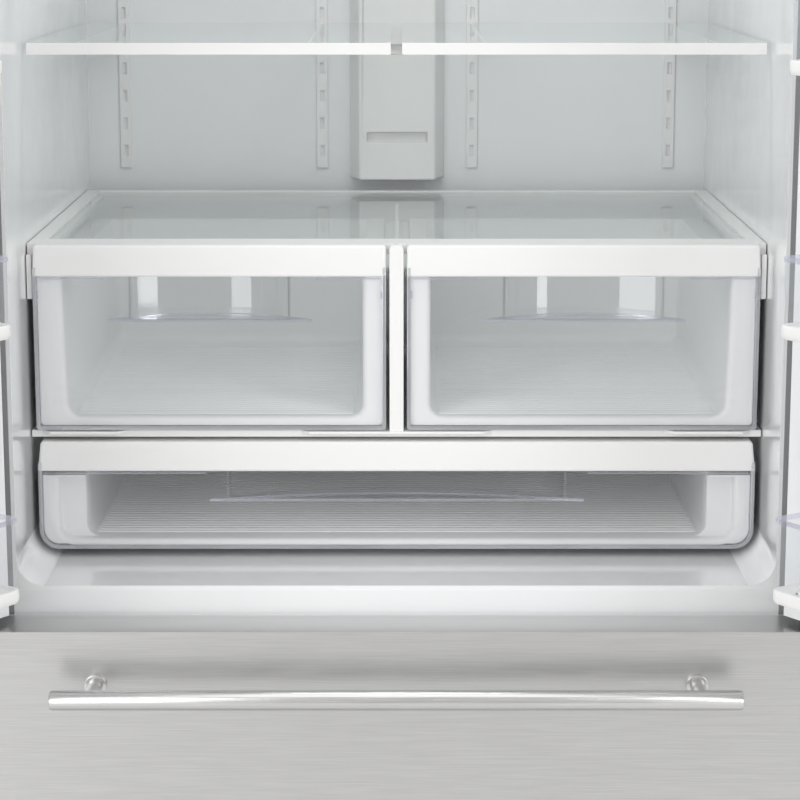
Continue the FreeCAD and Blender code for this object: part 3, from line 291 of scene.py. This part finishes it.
SEAL = soft_seal("magnetic_seal_grey", (0.60, 0.61, 0.62), (0.54, 0.55, 0.56))
DARK = moulded("charcoal_plastic", (0.075, 0.077, 0.08), (0.055, 0.056, 0.06), (0.4, 0.55),
               0.0001, peel=320.0)
COVER_GREY = moulded("hinge_cover_grey", (0.30, 0.305, 0.31), (0.26, 0.265, 0.27),
                     (0.38, 0.5), 0.00008, peel=320.0)
BLACK = lacquer("black_baked_paint", (0.03, 0.03, 0.032), (0.018, 0.018, 0.02), 0.22)
ALUMINIUM = brushed("bare_aluminium", (0.78, 0.785, 0.79), (0.68, 0.685, 0.69), "X",
                    (0.3, 0.42))
PLATED = brushed("zinc_plated_steel", (0.70, 0.71, 0.72), (0.58, 0.59, 0.60), "Y",
                 (0.25, 0.4))
LENS = lit_lens("frosted_lamp_lens", (0.93, 0.96, 1.0), 1.2)

NODE_FINISH = {
    "case_wrapper": SIDE_PAINT, "back_panel": ZINC, "base_panel": ZINC,
    "centre_rail": LINER, "cabinet_foam": FOAM, "fresh_food_liner": LINER,
    "freezer_liner": LINER, "toe_grille": DARK, "levelling_feet": PLATED,
    "door_hinges": PLATED, "hinge_covers": COVER_GREY, "hinge_screws": PLATED,
    "air_tower": DRAWER, "ceiling_console": DRAWER, "shelf_ladders": DRAWER,
    "shelf_frames": DRAWER, "shelf_glass": GLASS, "crisper_cover_frame": DRAWER,
    "crisper_cover_glass": GLASS, "deli_cover": DRAWER, "compressor": BLACK,
    "condenser": BLACK, "fan_rotor": DARK, "evaporator": ALUMINIUM,
    "evaporator_cover": DRAWER, "rear_cover": ZINC, "cord_gland": DARK,
    "freezer_rails": PLATED, "centre_flap": DRAWER, "drawer_runners": PLATED,
    "lower_basket": PAN, "upper_basket": PAN, "freezer_drawer_skin": STEEL,
    "freezer_drawer_foam": FOAM, "freezer_drawer_liner": LINER,
    "freezer_gasket": SEAL, "freezer_handle": BAR_STEEL,
    "deli_pan": PAN, "deli_front": CLEAR, "deli_fascia": DRAWER,
}
for side in ("left", "right"):
    NODE_FINISH.update({
        side + "_crisper_pan": PAN, side + "_crisper_front": CLEAR,
        side + "_crisper_fascia": DRAWER, side + "_door_skin": STEEL,
        side + "_door_foam": FOAM, side + "_door_liner": LINER,
        side + "_door_gasket": SEAL, side + "_door_handle": HANDLE_STEEL,
        side + "_door_bin_bases": DRAWER, side + "_door_bin_walls": CLEAR,
    })


def dress(node, finish, edge=0.0, steps=2):
    """Gives a CAD node its finish, and eases its sharp edges."""
    thing = NODES[node]
    thing.data.materials.clear()
    thing.data.materials.append(finish)
    if edge:
        weld = thing.modifiers.new("weld", "WELD")
        weld.merge_threshold = 0.00001
        ease = thing.modifiers.new("ease", "BEVEL")
        ease.width = edge
        ease.segments = steps
        ease.limit_method = "ANGLE"
        ease.angle_limit = math.radians(40)
        ease.harden_normals = True


SOFT_EDGE = {
    "crisper_cover_frame": 0.0012, "deli_cover": 0.0010, "shelf_frames": 0.0018,
    "air_tower": 0.0030, "ceiling_console": 0.0030, "shelf_ladders": 0.0004,
    "hinge_covers": 0.0030, "door_hinges": 0.0006, "toe_grille": 0.0010,
    "centre_rail": 0.0002, "evaporator_cover": 0.0020, "upper_basket": 0.0012,
    "lower_basket": 0.0012, "centre_flap": 0.0012, "freezer_rails": 0.0004,
    "drawer_runners": 0.0004, "freezer_drawer_skin": 0.0010, "deli_pan": 0.0020,
    "left_door_skin": 0.0002, "right_door_skin": 0.0002, "case_wrapper": 0.0002,
    "compressor": 0.0060, "condenser": 0.0010, "fan_rotor": 0.0010, "rear_cover": 0.0001,
    "left_door_liner": 0.0009, "right_door_liner": 0.0009, "fresh_food_liner": 0.0009,
    "freezer_drawer_liner": 0.0009, "levelling_feet": 0.0008, "cord_gland": 0.0006,
}
for node, finish in NODE_FINISH.items():
    dress(node, finish, SOFT_EDGE.get(node, 0.0))


# ---------------------------------------------------------------- making shapes

def spread(first, last, count):
    return [first + (last - first) * k / (count - 1) for k in range(count)]


def turn(centre, radius, start, stop, count):
    """Points along an arc, angles in degrees."""
    return [(centre[0] + radius * math.cos(math.radians(a)),
             centre[1] + radius * math.sin(math.radians(a)))
            for a in spread(start, stop, count)]


def round_frame(low, high, radii, count=9):
    """A rectangle with rounded corners: foot left, foot right, top right, top left."""
    (x0, z0), (x1, z1) = low, high
    a, b, c, d = [max(r, 0.00005) for r in radii]
    return (turn((x0 + a, z0 + a), a, 180, 270, count) + turn((x1 - b, z0 + b), b, 270, 360, count)
            + turn((x1 - c, z1 - c), c, 0, 90, count) + turn((x0 + d, z1 - d), d, 90, 180, count))


class Shape:
    """Gathers rings of points and the skin between them into one piece."""

    def __init__(self):
        self.mesh = bmesh.new()

    def ring(self, points):
        return [self.mesh.verts.new(p) for p in points]

    def upright(self, points, y):
        """A ring that stands in a plane facing the front."""
        return self.ring([(x, y, z) for x, z in points])

    def flat(self, points, z):
        """A ring that lies level."""
        return self.ring([(x, y, z) for x, y in points])

    def face(self, ring, finish=0):
        made = self.mesh.faces.new(ring)
        made.material_index = finish
        return made

    def skin(self, one, two, finish=0, closed=True):
        for k in range(len(one) if closed else len(one) - 1):
            n = (k + 1) % len(one)
            self.face((one[k], one[n], two[n], two[k]), finish)

    def loft(self, rings, finish=0, closed=True):
        for one, two in zip(rings, rings[1:]):
            self.skin(one, two, finish, closed)

    def solid(self, rings, finish=0):
        """A closed body through the rings, capped at both ends."""
        self.loft(rings, finish)
        self.face(rings[0], finish)
        self.face(rings[-1], finish)

    def wall(self, path, depth, low, high, finish=0):
        """A curved upright wall: a plan path given a thickness."""
        far = offset(path, depth)
        rings = []
        for points in (path, far):
            rings.append([self.mesh.verts.new((x, y, low)) for x, y in points])
            rings.append([self.mesh.verts.new((x, y, high)) for x, y in points])
        near_low, near_high, far_low, far_high = rings
        for one, two in ((near_low, near_high), (near_high, far_high), (far_high, far_low),
                         (far_low, near_low)):
            self.skin(one, two, finish, False)
        self.face((near_low[0], near_high[0], far_high[0], far_low[0]), finish)
        self.face((near_low[-1], near_high[-1], far_high[-1], far_low[-1]), finish)

    def done(self, name, body, finishes, replaces=(), sharp=32.0):
        bmesh.ops.recalc_face_normals(self.mesh, faces=self.mesh.faces)
        data = bpy.data.meshes.new(name)
        self.mesh.to_mesh(data)
        self.mesh.free()
        data.shade_smooth()
        data.set_sharp_from_angle(angle=math.radians(sharp))
        for finish in finishes:
            data.materials.append(finish)
        thing = bpy.data.objects.new(name, data)
        bpy.context.scene.collection.objects.link(thing)
        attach(thing, body)
        if replaces:
            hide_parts(*replaces)
        return thing


def offset(path, depth):
    """The same plan path, moved sideways by depth."""
    moved = []
    for k, (x, y) in enumerate(path):
        before, after = path[max(k - 1, 0)], path[min(k + 1, len(path) - 1)]
        dx, dy = after[0] - before[0], after[1] - before[1]
        size = math.hypot(dx, dy)
        moved.append((x - dy / size * depth, y + dx / size * depth))
    return moved


# ---------------------------------------------------------------- drawers

def clear_front(word, body, corner, scoop):
    """A clear drawer front: a raised border, a return all round, and a finger scoop.

    scoop is its middle, its half width at the ledge and at the wall, its depth and drop.
    """
    node = word + "_front"
    low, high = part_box(node)
    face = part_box(word + "_fascia")[0].z
    middle, half, wall_half, depth, drop = scoop
    easing, border_width, sunk_edge, scoop_wall = 0.0009, 0.0040, 0.0048, 0.0022
    panel_front, panel_back, return_depth, behind_cap = 0.0009, 0.0030, 0.0155, 0.010
    ledge = face - drop
    x0, x1, z0 = low.x, high.x, low.z
    plane, back = low.y, low.y + return_depth
    top = face + behind_cap

    def outline(inset):
        r = max(corner - inset, 0.0006)
        return round_frame((x0 + inset, z0 + inset), (x1 - inset, top), (r, r, 0.0003, 0.0003))

    s = Shape()
    rim = [s.upright(outline(0.0030), back), s.upright(outline(0.0024), back),
           s.upright(outline(0.0006), back), s.upright(outline(0.0), back - 0.0006),
           s.upright(outline(0.0), plane + easing)]
    for a in (30, 60, 90):
        sweep = math.radians(a)
        rim.append(s.upright(outline(easing * (1 - math.cos(sweep))),
                             plane + easing * (1 - math.sin(sweep))))
    s.loft(rim, 2)
    border = [rim[-1], s.upright(outline(border_width), plane)]
    s.loft(border, 2)
    step = [border[-1], s.upright(outline(0.0044), plane + 0.0002),
            s.upright(outline(sunk_edge), plane + panel_front)]
    s.loft(step, 1)
    inner = [rim[0], s.upright(outline(0.0030), plane + 0.0040),
             s.upright(outline(border_width), plane + panel_back)]
    s.loft(inner, 2)

    def notched(ring, y):
        """The panel's edge, with the scoop cut down from its top."""
        count = len(ring) // 4
        lip = [(middle + wall_half, top), (middle + wall_half, ledge + 0.003)]
        lip += turn((middle + wall_half - 0.003, ledge + 0.003), 0.003, 0, -90, 5)[1:]
        lip += [(2 * middle - x, z) for x, z in reversed(lip)]
        cut = [s.mesh.verts.new((x, y, z)) for x, z in lip]
        return ring[:3 * count] + cut + ring[3 * count:]

    s.face(notched(step[-1], plane + panel_front), 0)
    s.face(notched(inner[-1], plane + panel_back), 0)

    sweep = [(middle + x, plane + 0.0012 + depth * (1 - (x / half) ** 2))
             for x in spread(-wall_half, wall_half, 33)]
    entry = sweep[0][1]
    cheek = turn((sweep[0][0] + 0.006, entry), 0.006, 180, 130, 5)
    path = [(sweep[0][0], plane + 0.0012), (sweep[0][0], entry - 0.002)] + cheek
    path += [p for p in sweep if cheek[-1][0] + 0.002 < p[0] < 2 * middle - cheek[-1][0] - 0.002]
    path += [(2 * middle - x, y) for x, y in reversed(path[:2] + cheek)]
    s.wall(path, scoop_wall, ledge, top - 0.0004, 0)

    lip = []
    for inset, z in ((0.0012, -0.0030), (0.0003, -0.0024), (0.0, -0.0014), (0.0003, -0.0004),
                     (0.0012, 0.0)):
        points = [(middle + x, plane + 0.0002 + inset)
                  for x in spread(half - 0.004, 0.004 - half, 21)]
        points += [(middle + x,
                    plane + 0.0006 + (depth + scoop_wall - inset) * (1 - (x / half) ** 2))
                   for x in spread(-half, half, 41)]
        lip.append(s.flat(points, ledge + z))
    s.loft(lip, 1)
    s.face(lip[0], 0)
    sunk = s.flat([(middle + (v.co.x - middle) * 0.985, plane + 0.0022 + (v.co.y - plane) * 0.93)
                   for v in lip[-1]], ledge - 0.0006)
    s.skin(lip[-1], sunk, 1)
    s.face(sunk, 0)
    bead = turn((0.0, 0.0), 0.0007, 0, 315, 8)
    for side in (-1, 1):
        x = middle + side * (half + 0.004)
        end = x0 + 0.006 if side < 0 else x1 - 0.006
        rings = [s.ring([(along, plane + 0.0022 + u, face - 0.0020 + v) for u, v in bead])
                 for along in (x, end)]
        s.solid(rings, 1)
    return s.done(word + "_clear_front", body, (CLEAR, CLEAR_EDGE, CLEAR_BORDER), (node,))


def capped_fascia(word, body):
    """A white cap over the drawer front, tapered a little at its ends."""
    node = word + "_fascia"
    low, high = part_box(node)
    corners = [v.co for v in NODES[node].data.vertices]
    top_left = min(c.x for c in corners if c.z > high.z - 0.004)
    top_right = max(c.x for c in corners if c.z > high.z - 0.004)

    def outline(inset, r=0.0022):
        x0, x1, z0, z1 = low.x + inset, high.x - inset, low.z + inset, high.z - inset
        lean_left, lean_right = top_left - low.x, high.x - top_right
        points = round_frame((x0, z0), (x1, z1), (r, r, r + 0.0015, r + 0.0015), 7)
        return [(x + (z - z0) / (z1 - z0) * (lean_left if x < (x0 + x1) / 2 else -lean_right), z)
                for x, z in points]

    s = Shape()
    rings = [s.upright(outline(0.0022), high.y), s.upright(outline(0.0), high.y)]
    rings += [s.upright(outline(0.0), low.y + 0.0030)]
    for a in (18, 36, 54, 72, 90):
        sweep = math.radians(a)
        rings.append(s.upright(outline(0.0030 * (1 - math.cos(sweep))),
                               low.y + 0.0030 * (1 - math.sin(sweep))))
    s.loft(rings)
    s.face(rings[-1])
    inside = [rings[0], s.upright(outline(0.0024), low.y + 0.0040)]
    s.loft(inside)
    s.face(inside[-1])
    return s.done(word + "_cap", body, (DRAWER,), (node,))


def trough(word, body, inside, lean, floor, top, flange, brim_round=0.004, shoulder=(0.0, 0.0)):
    """A white drawer body: a front flange that rolls into the walls, and a ribbed floor.

    inside and flange are (low X, high X); lean is how far each wall moves in to the floor.
    shoulder is how much wider the mouth is at each side, and how deep it is there.
    """
    node = word + "_pan"
    low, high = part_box(node)
    front, back = low.y, high.y
    radius, roll = 0.014, 0.006
    wider, mouth = shoulder

    def hollow(grow, wide=0.0):
        """The U of the walls and floor, grown outwards, and wider at each side."""
        x0, x1, z0 = inside[0] - grow - wide, inside[1] + grow + wide, floor - grow
        r = max(radius + grow, 0.002)
        points = [(x0, top)] + turn((x0 + r, z0 + r), r, 180, 270, 9)
        points += turn((x1 - r, z0 + r), r, 270, 360, 9) + [(x1, top)]
        return [(x + max(0.0, (top - z) / (top - z0)) *
                 (lean[0] if x < (x0 + x1) / 2 else -lean[1]), z) for x, z in points]

    def brim(inset):
        x0, x1, z0 = flange[0] + inset, flange[1] - inset, low.z + inset
        r = brim_round - inset
        points = [(x0, top)] + turn((x0 + r, z0 + r), r, 180, 270, 9)
        return points + turn((x1 - r, z0 + r), r, 270, 360, 9) + [(x1, top)]

    s = Shape()
    rings = [s.upright(brim(0.0), front + 0.0028), s.upright(brim(0.0), front + 0.0008),
             s.upright(brim(0.0008), front)]
    for a in (0, 22, 45, 68, 90):
        sweep = math.radians(a)
        rings.append(s.upright(hollow(roll * (1 - math.sin(sweep)), wider),
                               front + roll * (1 - math.cos(sweep))))
    if wider:
        for wide, y in ((wider, -0.0010), (wider - 0.0010, 0.0), (0.0020, 0.0), (0.0006, 0.0006),
                        (0.0, 0.0020)):
            rings.append(s.upright(hollow(0.0, wide), front + mouth + y))
    for y in spread(front + 0.05, back - 0.012, 6):
        rings.append(s.upright(hollow(0.0), y))
    for a in (30, 60, 90):
        sweep = math.radians(a)
        rings.append(s.upright(hollow(-0.010 * (1 - math.cos(sweep))),
                               back - 0.012 + 0.010 * math.sin(sweep)))
    s.loft(rings, 0, False)
    s.face(rings[-1])
    outer = [rings[0], s.upright(hollow(0.0024, wider), front + 0.0030)]
    if wider:
        outer += [s.upright(hollow(0.0024, wide), front + mouth + 0.0026) for wide in (wider, 0.0)]
    outer.append(s.upright(hollow(0.0024), back))
    s.loft(outer, 0, False)
    s.face(outer[-1])
    for side in (0, 1):
        edge = inside[side]
        span = sorted((edge, flange[side]))
        s.solid([s.upright(round_frame((span[0], top - 0.0026), (span[1], top), (0.001,) * 4, 3), y)
                 for y in (front + 0.0005, back)])
    pitch = 0.0105
    count = int((back - front - mouth - 0.045) / pitch)
    for k in range(count):
        y = front + mouth + 0.018 + k * pitch
        bump = turn((y, floor - 0.0006), 0.0021, 180, 0, 7)
        run = spread(inside[0] + lean[0] + radius * 0.55, inside[1] - lean[1] - radius * 0.55, 2)
        s.loft([s.ring([(x, u, floor + (v - floor + 0.0006) * 0.75) for u, v in bump])
                for x in run], 0, False)
    return s.done(word + "_trough", body, (PAN,), (node,))


def crisper_drawers():
    """Two drawers side by side, each the other's mirror: the wall next to the liner leans."""
    near, far, brim_near, brim_far = 0.036, 0.355, 0.015, 0.3806
    floor, top, scoop_middle, draft = 0.876, 1.0314, 0.1978, 0.0043
    for side, word in ((-1, "left_crisper"), (1, "right_crisper")):
        clear_front(word, word, 0.004, (side * scoop_middle, 0.108, 0.083, 0.040, 0.045))
        capped_fascia(word, word)
        inside = (near, far) if side > 0 else (-far, -near)
        lean = (0.0, draft) if side > 0 else (draft, 0.0)
        flange = (brim_near, brim_far) if side > 0 else (-brim_far, -brim_near)
        trough(word, word, inside, lean, floor, top, flange)


def deli_drawer():
    """The full-width drawer, whose body steps in behind its mouth."""
    brim, shoulder = 0.045, (0.027, 0.015)
    low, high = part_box("deli_pan")
    trough("deli", "deli_drawer", (low.x + brim, high.x - brim), (0.0, 0.0), low.z + 0.0055,
           high.z, (low.x, high.x), 0.017, shoulder)
    clear_front("deli", "deli_drawer", 0.021, (0.0, 0.201, 0.180, 0.028, 0.030))
    capped_fascia("deli", "deli_drawer")


# ---------------------------------------------------------------- doors

HINGES = {joint["name"]: joint for joint in frame["joints"]}
OPEN = math.radians(125.0)
DOOR_BACK = 0.030
BIN_NEAR, BIN_FAR, BIN_REACH = 0.0725, 0.3575, 0.1435
HANDLE_LINE, HANDLE_ENDS, HANDLE_POSTS = (0.3985, -0.082), (0.822, 1.568), (0.862, 1.528)
BAR_RADIUS, NECK_RADIUS, COLLAR_RADIUS = 0.010, 0.0078, 0.0112


def door_spot(side, u, v):
    """A plan point of a door: u from its hinge towards its handle, v from its face inwards."""
    axis_x, axis_y, _ = HINGES[("left" if side < 0 else "right") + "_door_hinge"]["pos_m"]
    x = u if side < 0 else -u
    a = -OPEN if side < 0 else OPEN
    return (axis_x + x * math.cos(a) - v * math.sin(a), axis_y + x * math.sin(a) + v * math.cos(a))


def on_door(side, points, z):
    """Plan points of a door, at one height."""
    return [(*door_spot(side, u, v), z) for u, v in points]


def round_path(corners, radius, count=7):
    """An open plan path through the corners, each inner one rounded."""
    path = [corners[0]]
    for before, at, after in zip(corners, corners[1:], corners[2:]):
        one, two = (Vector(before) - Vector(at)), (Vector(after) - Vector(at))
        one.normalize()
        two.normalize()
        start, stop = Vector(at) + one * radius, Vector(at) + two * radius
        for k in range(count):
            t = k / (count - 1)
            path.append(tuple((1 - t) ** 2 * start + 2 * t * (1 - t) * Vector(at) + t * t * stop))
    return path + [corners[-1]]


BIN_LEVELS = ((0.757, 0.084), (1.013, 0.078), (1.258, 0.078), (1.503, 0.078))


def door_bins(side, word):
    """Four shelves on each door: a white tray and a clear wall with a rolled rim."""
    near, far, reach = BIN_NEAR, BIN_FAR, BIN_REACH
    for number, (low, height) in enumerate(BIN_LEVELS, 1):
        top = low + height
        tray = Shape()

        def plan(inset):
            corners = [(near + inset, DOOR_BACK + 0.0006), (near + inset, reach - inset),
                       (far - inset, reach - inset), (far - inset, DOOR_BACK + 0.0006)]
            return round_path(corners, max(0.012 - inset, 0.003))

        steps = [(0.0045, low), (0.0020, low + 0.0006), (0.0006, low + 0.0022),
                 (0.0, low + 0.0045), (0.0, low + 0.0125), (0.0006, low + 0.0136),
                 (0.0018, low + 0.0140), (0.0034, low + 0.0136), (0.0038, low + 0.0110)]
        rings = [tray.ring(on_door(side, plan(inset), z)) for inset, z in steps]
        tray.loft(rings, 0, True)
        tray.face(rings[0])
        tray.face(rings[-1])
        ribs = 9
        for k in range(ribs):
            u = near + 0.024 + (far - near - 0.048) * k / (ribs - 1)
            ridge = []
            for v in (DOOR_BACK + 0.010, reach - 0.014):
                ridge.append(tray.ring([(*door_spot(side, u + a, v), low + 0.0110 + b)
                                        for a, b in turn((0.0, 0.0), 0.0022, 180, 0, 6)]))
            tray.loft(ridge, 0, False)
        tray.done("%s_bin_%d_tray" % (word, number), word, (DRAWER,), (word + "_bin_bases",))
        wall = Shape()
        skins = []
        for inset, z in ((0.0030, low + 0.0125), (0.0024, low + 0.0140), (0.0022, low + 0.030),
                         (0.0008, top - 0.0050), (0.0002, top - 0.0036), (0.0, top - 0.0020),
                         (0.0004, top - 0.0006), (0.0016, top), (0.0030, top - 0.0006),
                         (0.0034, top - 0.0020), (0.0030, top - 0.0040),
                         (0.0036, top - 0.0052), (0.0044, low + 0.030), (0.0048, low + 0.0138)):
            skins.append(wall.ring(on_door(side, plan(inset), z)))
        wall.loft(skins[:4], 0, False)
        wall.loft(skins[3:12], 1, False)
        wall.loft(skins[11:], 0, False)
        wall.skin(skins[-1], skins[0], 0, False)
        wall.face([ring[0] for ring in skins], 1)
        wall.face([ring[-1] for ring in skins], 1)
        wall.done("%s_bin_%d_wall" % (word, number), word, (CLEAR, CLEAR_EDGE),
                  (word + "_bin_walls",))


def swept_seal(name, body, place, low, high, foot, node):
    """A magnetic seal: a foot, a folded bellows and a flat magnet sleeve, all round."""
    steps = [(0.0000, 0.0), (0.0000, 0.0016), (0.0028, 0.0022), (0.0012, 0.0036),
             (0.0030, 0.0050), (0.0004, 0.0062), (0.0000, 0.0072), (0.0000, 0.0086),
             (0.0008, 0.0094), (0.0112, 0.0094), (0.0120, 0.0086), (0.0120, 0.0072),
             (0.0116, 0.0062), (0.0090, 0.0050), (0.0108, 0.0036), (0.0092, 0.0022),
             (0.0120, 0.0016), (0.0120, 0.0)]
    s = Shape()
    rings = []
    for inset, rise in steps:
        points = round_frame((low[0] + inset, low[1] + inset), (high[0] - inset, high[1] - inset),
                             (0.016 - inset,) * 4, 6)
        rings.append(s.ring([place(u, foot + rise, z) for u, z in points]))
    s.loft(rings)
    s.skin(rings[-1], rings[0])
    return s.done(name, body, (SEAL,), (node,), sharp=50.0)


def seals():
    for side, word in ((-1, "left_door"), (1, "right_door")):
        swept_seal(word + "_seal", word,
                   lambda u, v, z, side=side: (*door_spot(side, u, v), z),
                   (0.008, 0.707), (0.4205, 1.730), DOOR_BACK, word + "_gasket")
    low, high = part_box("freezer_gasket")
    swept_seal("freezer_seal", "freezer_drawer", lambda u, v, z: (u, v, z),
               (low.x, low.z), (high.x, high.z), low.y, "freezer_gasket")


def rod_rings(s, centre, radius, low, high, place, ease=0.003, count=28):
    """A round bar with eased ends, along the third axis of place."""
    rings = []
    for inset, along in ((ease, low), (ease * 0.3, low + ease * 0.25), (0.0, low + ease),
                         (0.0, high - ease), (ease * 0.3, high - ease * 0.25), (ease, high)):
        r = radius - inset
        rings.append(s.ring([place(centre[0] + r * math.cos(2 * math.pi * k / count),
                                   centre[1] + r * math.sin(2 * math.pi * k / count), along)
                             for k in range(count)]))
    s.solid(rings)


def door_handle(side, word):
    """A round bar on two necked posts, each with a collar against the door."""
    s = Shape()
    rod_rings(s, HANDLE_LINE, BAR_RADIUS, *HANDLE_ENDS,
              lambda u, v, z: (*door_spot(side, u, v), z))
    for z in HANDLE_POSTS:
        for radius, start, stop in ((NECK_RADIUS, -0.078, -0.034),
                                    (COLLAR_RADIUS, -0.0368, -0.0322)):
            rod_rings(s, (HANDLE_LINE[0], z), radius, start, stop,
                      lambda u, h, v: (*door_spot(side, u, v), h), 0.0010)
    s.done(word + "_bar", word, (HANDLE_STEEL,), (word + "_handle",), sharp=40.0)


def drawer_handle():
    low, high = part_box("freezer_handle")
    z, y = (low.z + high.z) / 2, low.y + BAR_RADIUS
    s = Shape()
    rod_rings(s, (y, z), BAR_RADIUS, low.x, high.x, lambda v, h, along: (along, v, h))
    for x in (low.x + 0.040, high.x - 0.040):
        for radius, start, stop in ((NECK_RADIUS, y + 0.004, high.y),
                                    (COLLAR_RADIUS, high.y - 0.0048, high.y)):
            rod_rings(s, (x, z), radius, start, stop, lambda u, h, along: (u, along, h), 0.0010)
    s.done("freezer_bar", "freezer_drawer", (BAR_STEEL,), ("freezer_handle",),
           sharp=40.0)


def doors():
    for side, word in ((-1, "left_door"), (1, "right_door")):
        door_bins(side, word)
        door_handle(side, word)
    seals()
    drawer_handle()


doors()


# ---------------------------------------------------------------- case fittings

def back_sheet():
    """Pressed stiffening beads on the back sheet, and the screws round its edge."""
    low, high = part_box("back_panel")
    outside = high.y
    s = Shape()
    foot, head = low.z + 0.09, high.z - 0.09
    for x in spread(-0.30, 0.30, 4):
        rings = []
        for inset, rise in ((0.0, -0.0002), (0.0025, 0.0003), (0.0055, 0.0012), (0.0085, 0.0016),
                            (0.0120, 0.0017)):
            r = 0.0155 - inset
            rings.append(s.upright(round_frame((x - 0.016 + inset, foot + inset),
                                               (x + 0.016 - inset, head - inset), (r,) * 4, 8),
                                   outside + rise))
        s.loft(rings)
        s.face(rings[-1])
    s.done("back_beads", "cabinet", (ZINC,), (), sharp=60.0)
    heads = Shape()
    recess = (1.0, 0.35, 0.75, 0.35)
    spots = [(side * (high.x - 0.012), z) for side in (-1, 1)
             for z in spread(low.z + 0.02, high.z - 0.02, 7)]
    spots += [(x, z) for x in spread(-0.34, 0.34, 5) for z in (low.z + 0.012, high.z - 0.012)]
    for x, z in spots:
        rings = []
        for radius, rise in ((0.0046, -0.0002), (0.0046, 0.0006), (0.0040, 0.0014),
                             (0.0026, 0.0021)):
            rings.append(heads.upright([(x + px, z + pz) for px, pz in
                                        turn((0.0, 0.0), radius, 0, 337.5, 16)], outside + rise))
        cross = [(px * recess[k % 4], pz * recess[k % 4])
                 for k, (px, pz) in enumerate(turn((0.0, 0.0), 0.0017, 0, 337.5, 16))]
        rings.append(heads.upright([(x + px, z + pz) for px, pz in cross], outside + 0.0022))
        rings.append(heads.upright([(x + px * 0.8, z + pz * 0.8) for px, pz in cross],
                                   outside + 0.0012))
        heads.loft(rings)
        heads.face(rings[-1])
    heads.done("back_screws", "cabinet", (PLATED,), ())


def lamp_lens():
    """The ribbed lens in the ceiling console."""
    low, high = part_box("ceiling_console")
    foot, head = (low.x + 0.022, low.y + 0.022), (high.x - 0.022, low.y + 0.068)
    s = Shape()
    rings = []
    for inset, z in ((0.0, low.z + 0.0028), (0.0, low.z + 0.0012), (0.0012, low.z + 0.0004),
                     (0.0040, low.z + 0.0002)):
        outline = round_frame((foot[0] + inset, foot[1] + inset),
                              (head[0] - inset, head[1] - inset), (0.008,) * 4, 6)
        rings.append(s.flat(outline, z))
    s.solid(rings)
    s.done("lamp_lens", "cabinet", (LENS,), ())


def front_clips():
    """The small clear catches where each crisper front locks to its fascia."""
    for side, word in ((-1, "left_crisper"), (1, "right_crisper")):
        low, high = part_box(word + "_front")
        for x, way in ((low.x + 0.0042, -1), (high.x - 0.0042, 1)):
            s = Shape()
            z = 1.0085
            rings = [s.upright(round_frame((x - 0.0015 + inset, z - 0.0045 + inset),
                                           (x + 0.0015 - inset, z + 0.0045 - inset),
                                           (0.0008,) * 4, 4), low.y + rise)
                     for inset, rise in ((0.0, 0.0026), (0.0, 0.0007), (0.0005, 0.0001))]
            s.solid(rings)
            s.done("%s_catch_%s" % (word, "outer" if way * side > 0 else "inner"), word,
                   (CLEAR_EDGE,), ())


back_sheet()
lamp_lens()
front_clips()
crisper_drawers()
deli_drawer()


# ---------------------------------------------------------------- stage

def pale_floor():
    """A wide pale sheet under the appliance, with a faint mottled tone."""
    mesh = bmesh.new()
    bmesh.ops.create_grid(mesh, x_segments=8, y_segments=8, size=9.0)
    data = bpy.data.meshes.new("floor_sheet")
    mesh.to_mesh(data)
    mesh.free()
    floor = bpy.data.objects.new("floor_sheet", data)
    bpy.context.scene.collection.objects.link(floor)
    f = Finish("pale_floor")
    data.materials.append(f.show(f.shader(
        Base_Color=f.tint(f.clouds(1.5, 3.0), (0.78, 0.78, 0.78), (0.84, 0.84, 0.84)),
        Roughness=0.6)))


def soft_box(name, place, aim, size, power, colour=(1.0, 1.0, 1.0)):
    lamp = bpy.data.lights.new(name, "AREA")
    lamp.shape = "RECTANGLE"
    lamp.size, lamp.size_y = size
    lamp.energy = power
    lamp.color = colour
    thing = bpy.data.objects.new(name, lamp)
    thing.location = place
    thing.rotation_mode = "QUATERNION"
    thing.rotation_quaternion = (Vector(aim) - Vector(place)).to_track_quat("-Z", "Y")
    bpy.context.scene.collection.objects.link(thing)


def studio():
    pale_floor()
    soft_box("key_box", (-2.0, -3.0, 1.70), (0.0, -0.2, 0.95), (1.7, 3.0), 45.0)
    soft_box("fill_box", (2.1, -2.7, 1.75), (0.0, -0.2, 0.95), (0.8, 2.8), 28.0)
    soft_box("top_box", (0.0, -1.0, 3.6), (0.0, 0.0, 0.9), (2.6, 2.6), 18.0)
    soft_box("back_box", (0.6, 3.6, 2.4), (0.0, 0.0, 0.9), (2.6, 2.2), 40.0)
    soft_box("cabinet_lamp", (0.0, -0.14, 1.655), (0.0, -0.10, 0.9), (0.5, 0.05), 1.3)
    world = bpy.data.worlds.new("studio_air")
    world.use_nodes = True
    world.node_tree.nodes["Background"].inputs["Color"].default_value = (1.0, 0.99, 0.98, 1.0)
    world.node_tree.nodes["Background"].inputs["Strength"].default_value = 0.66
    bpy.context.scene.world = world
    bpy.context.scene.view_settings.view_transform = "Standard"


def camera():
    """Stands at eye height in front of the open doors and looks down a little."""
    seen = bpy.data.cameras.new("eye")
    seen.lens = 107.7
    seen.sensor_width = 36.0
    thing = bpy.data.objects.new("eye", seen)
    thing.location = (0.0037, -2.7555, 1.400)
    thing.rotation_euler = (math.radians(90.0 - 11.41), 0.0, 0.0)
    bpy.context.scene.collection.objects.link(thing)
    bpy.context.scene.camera = thing


studio()
camera()
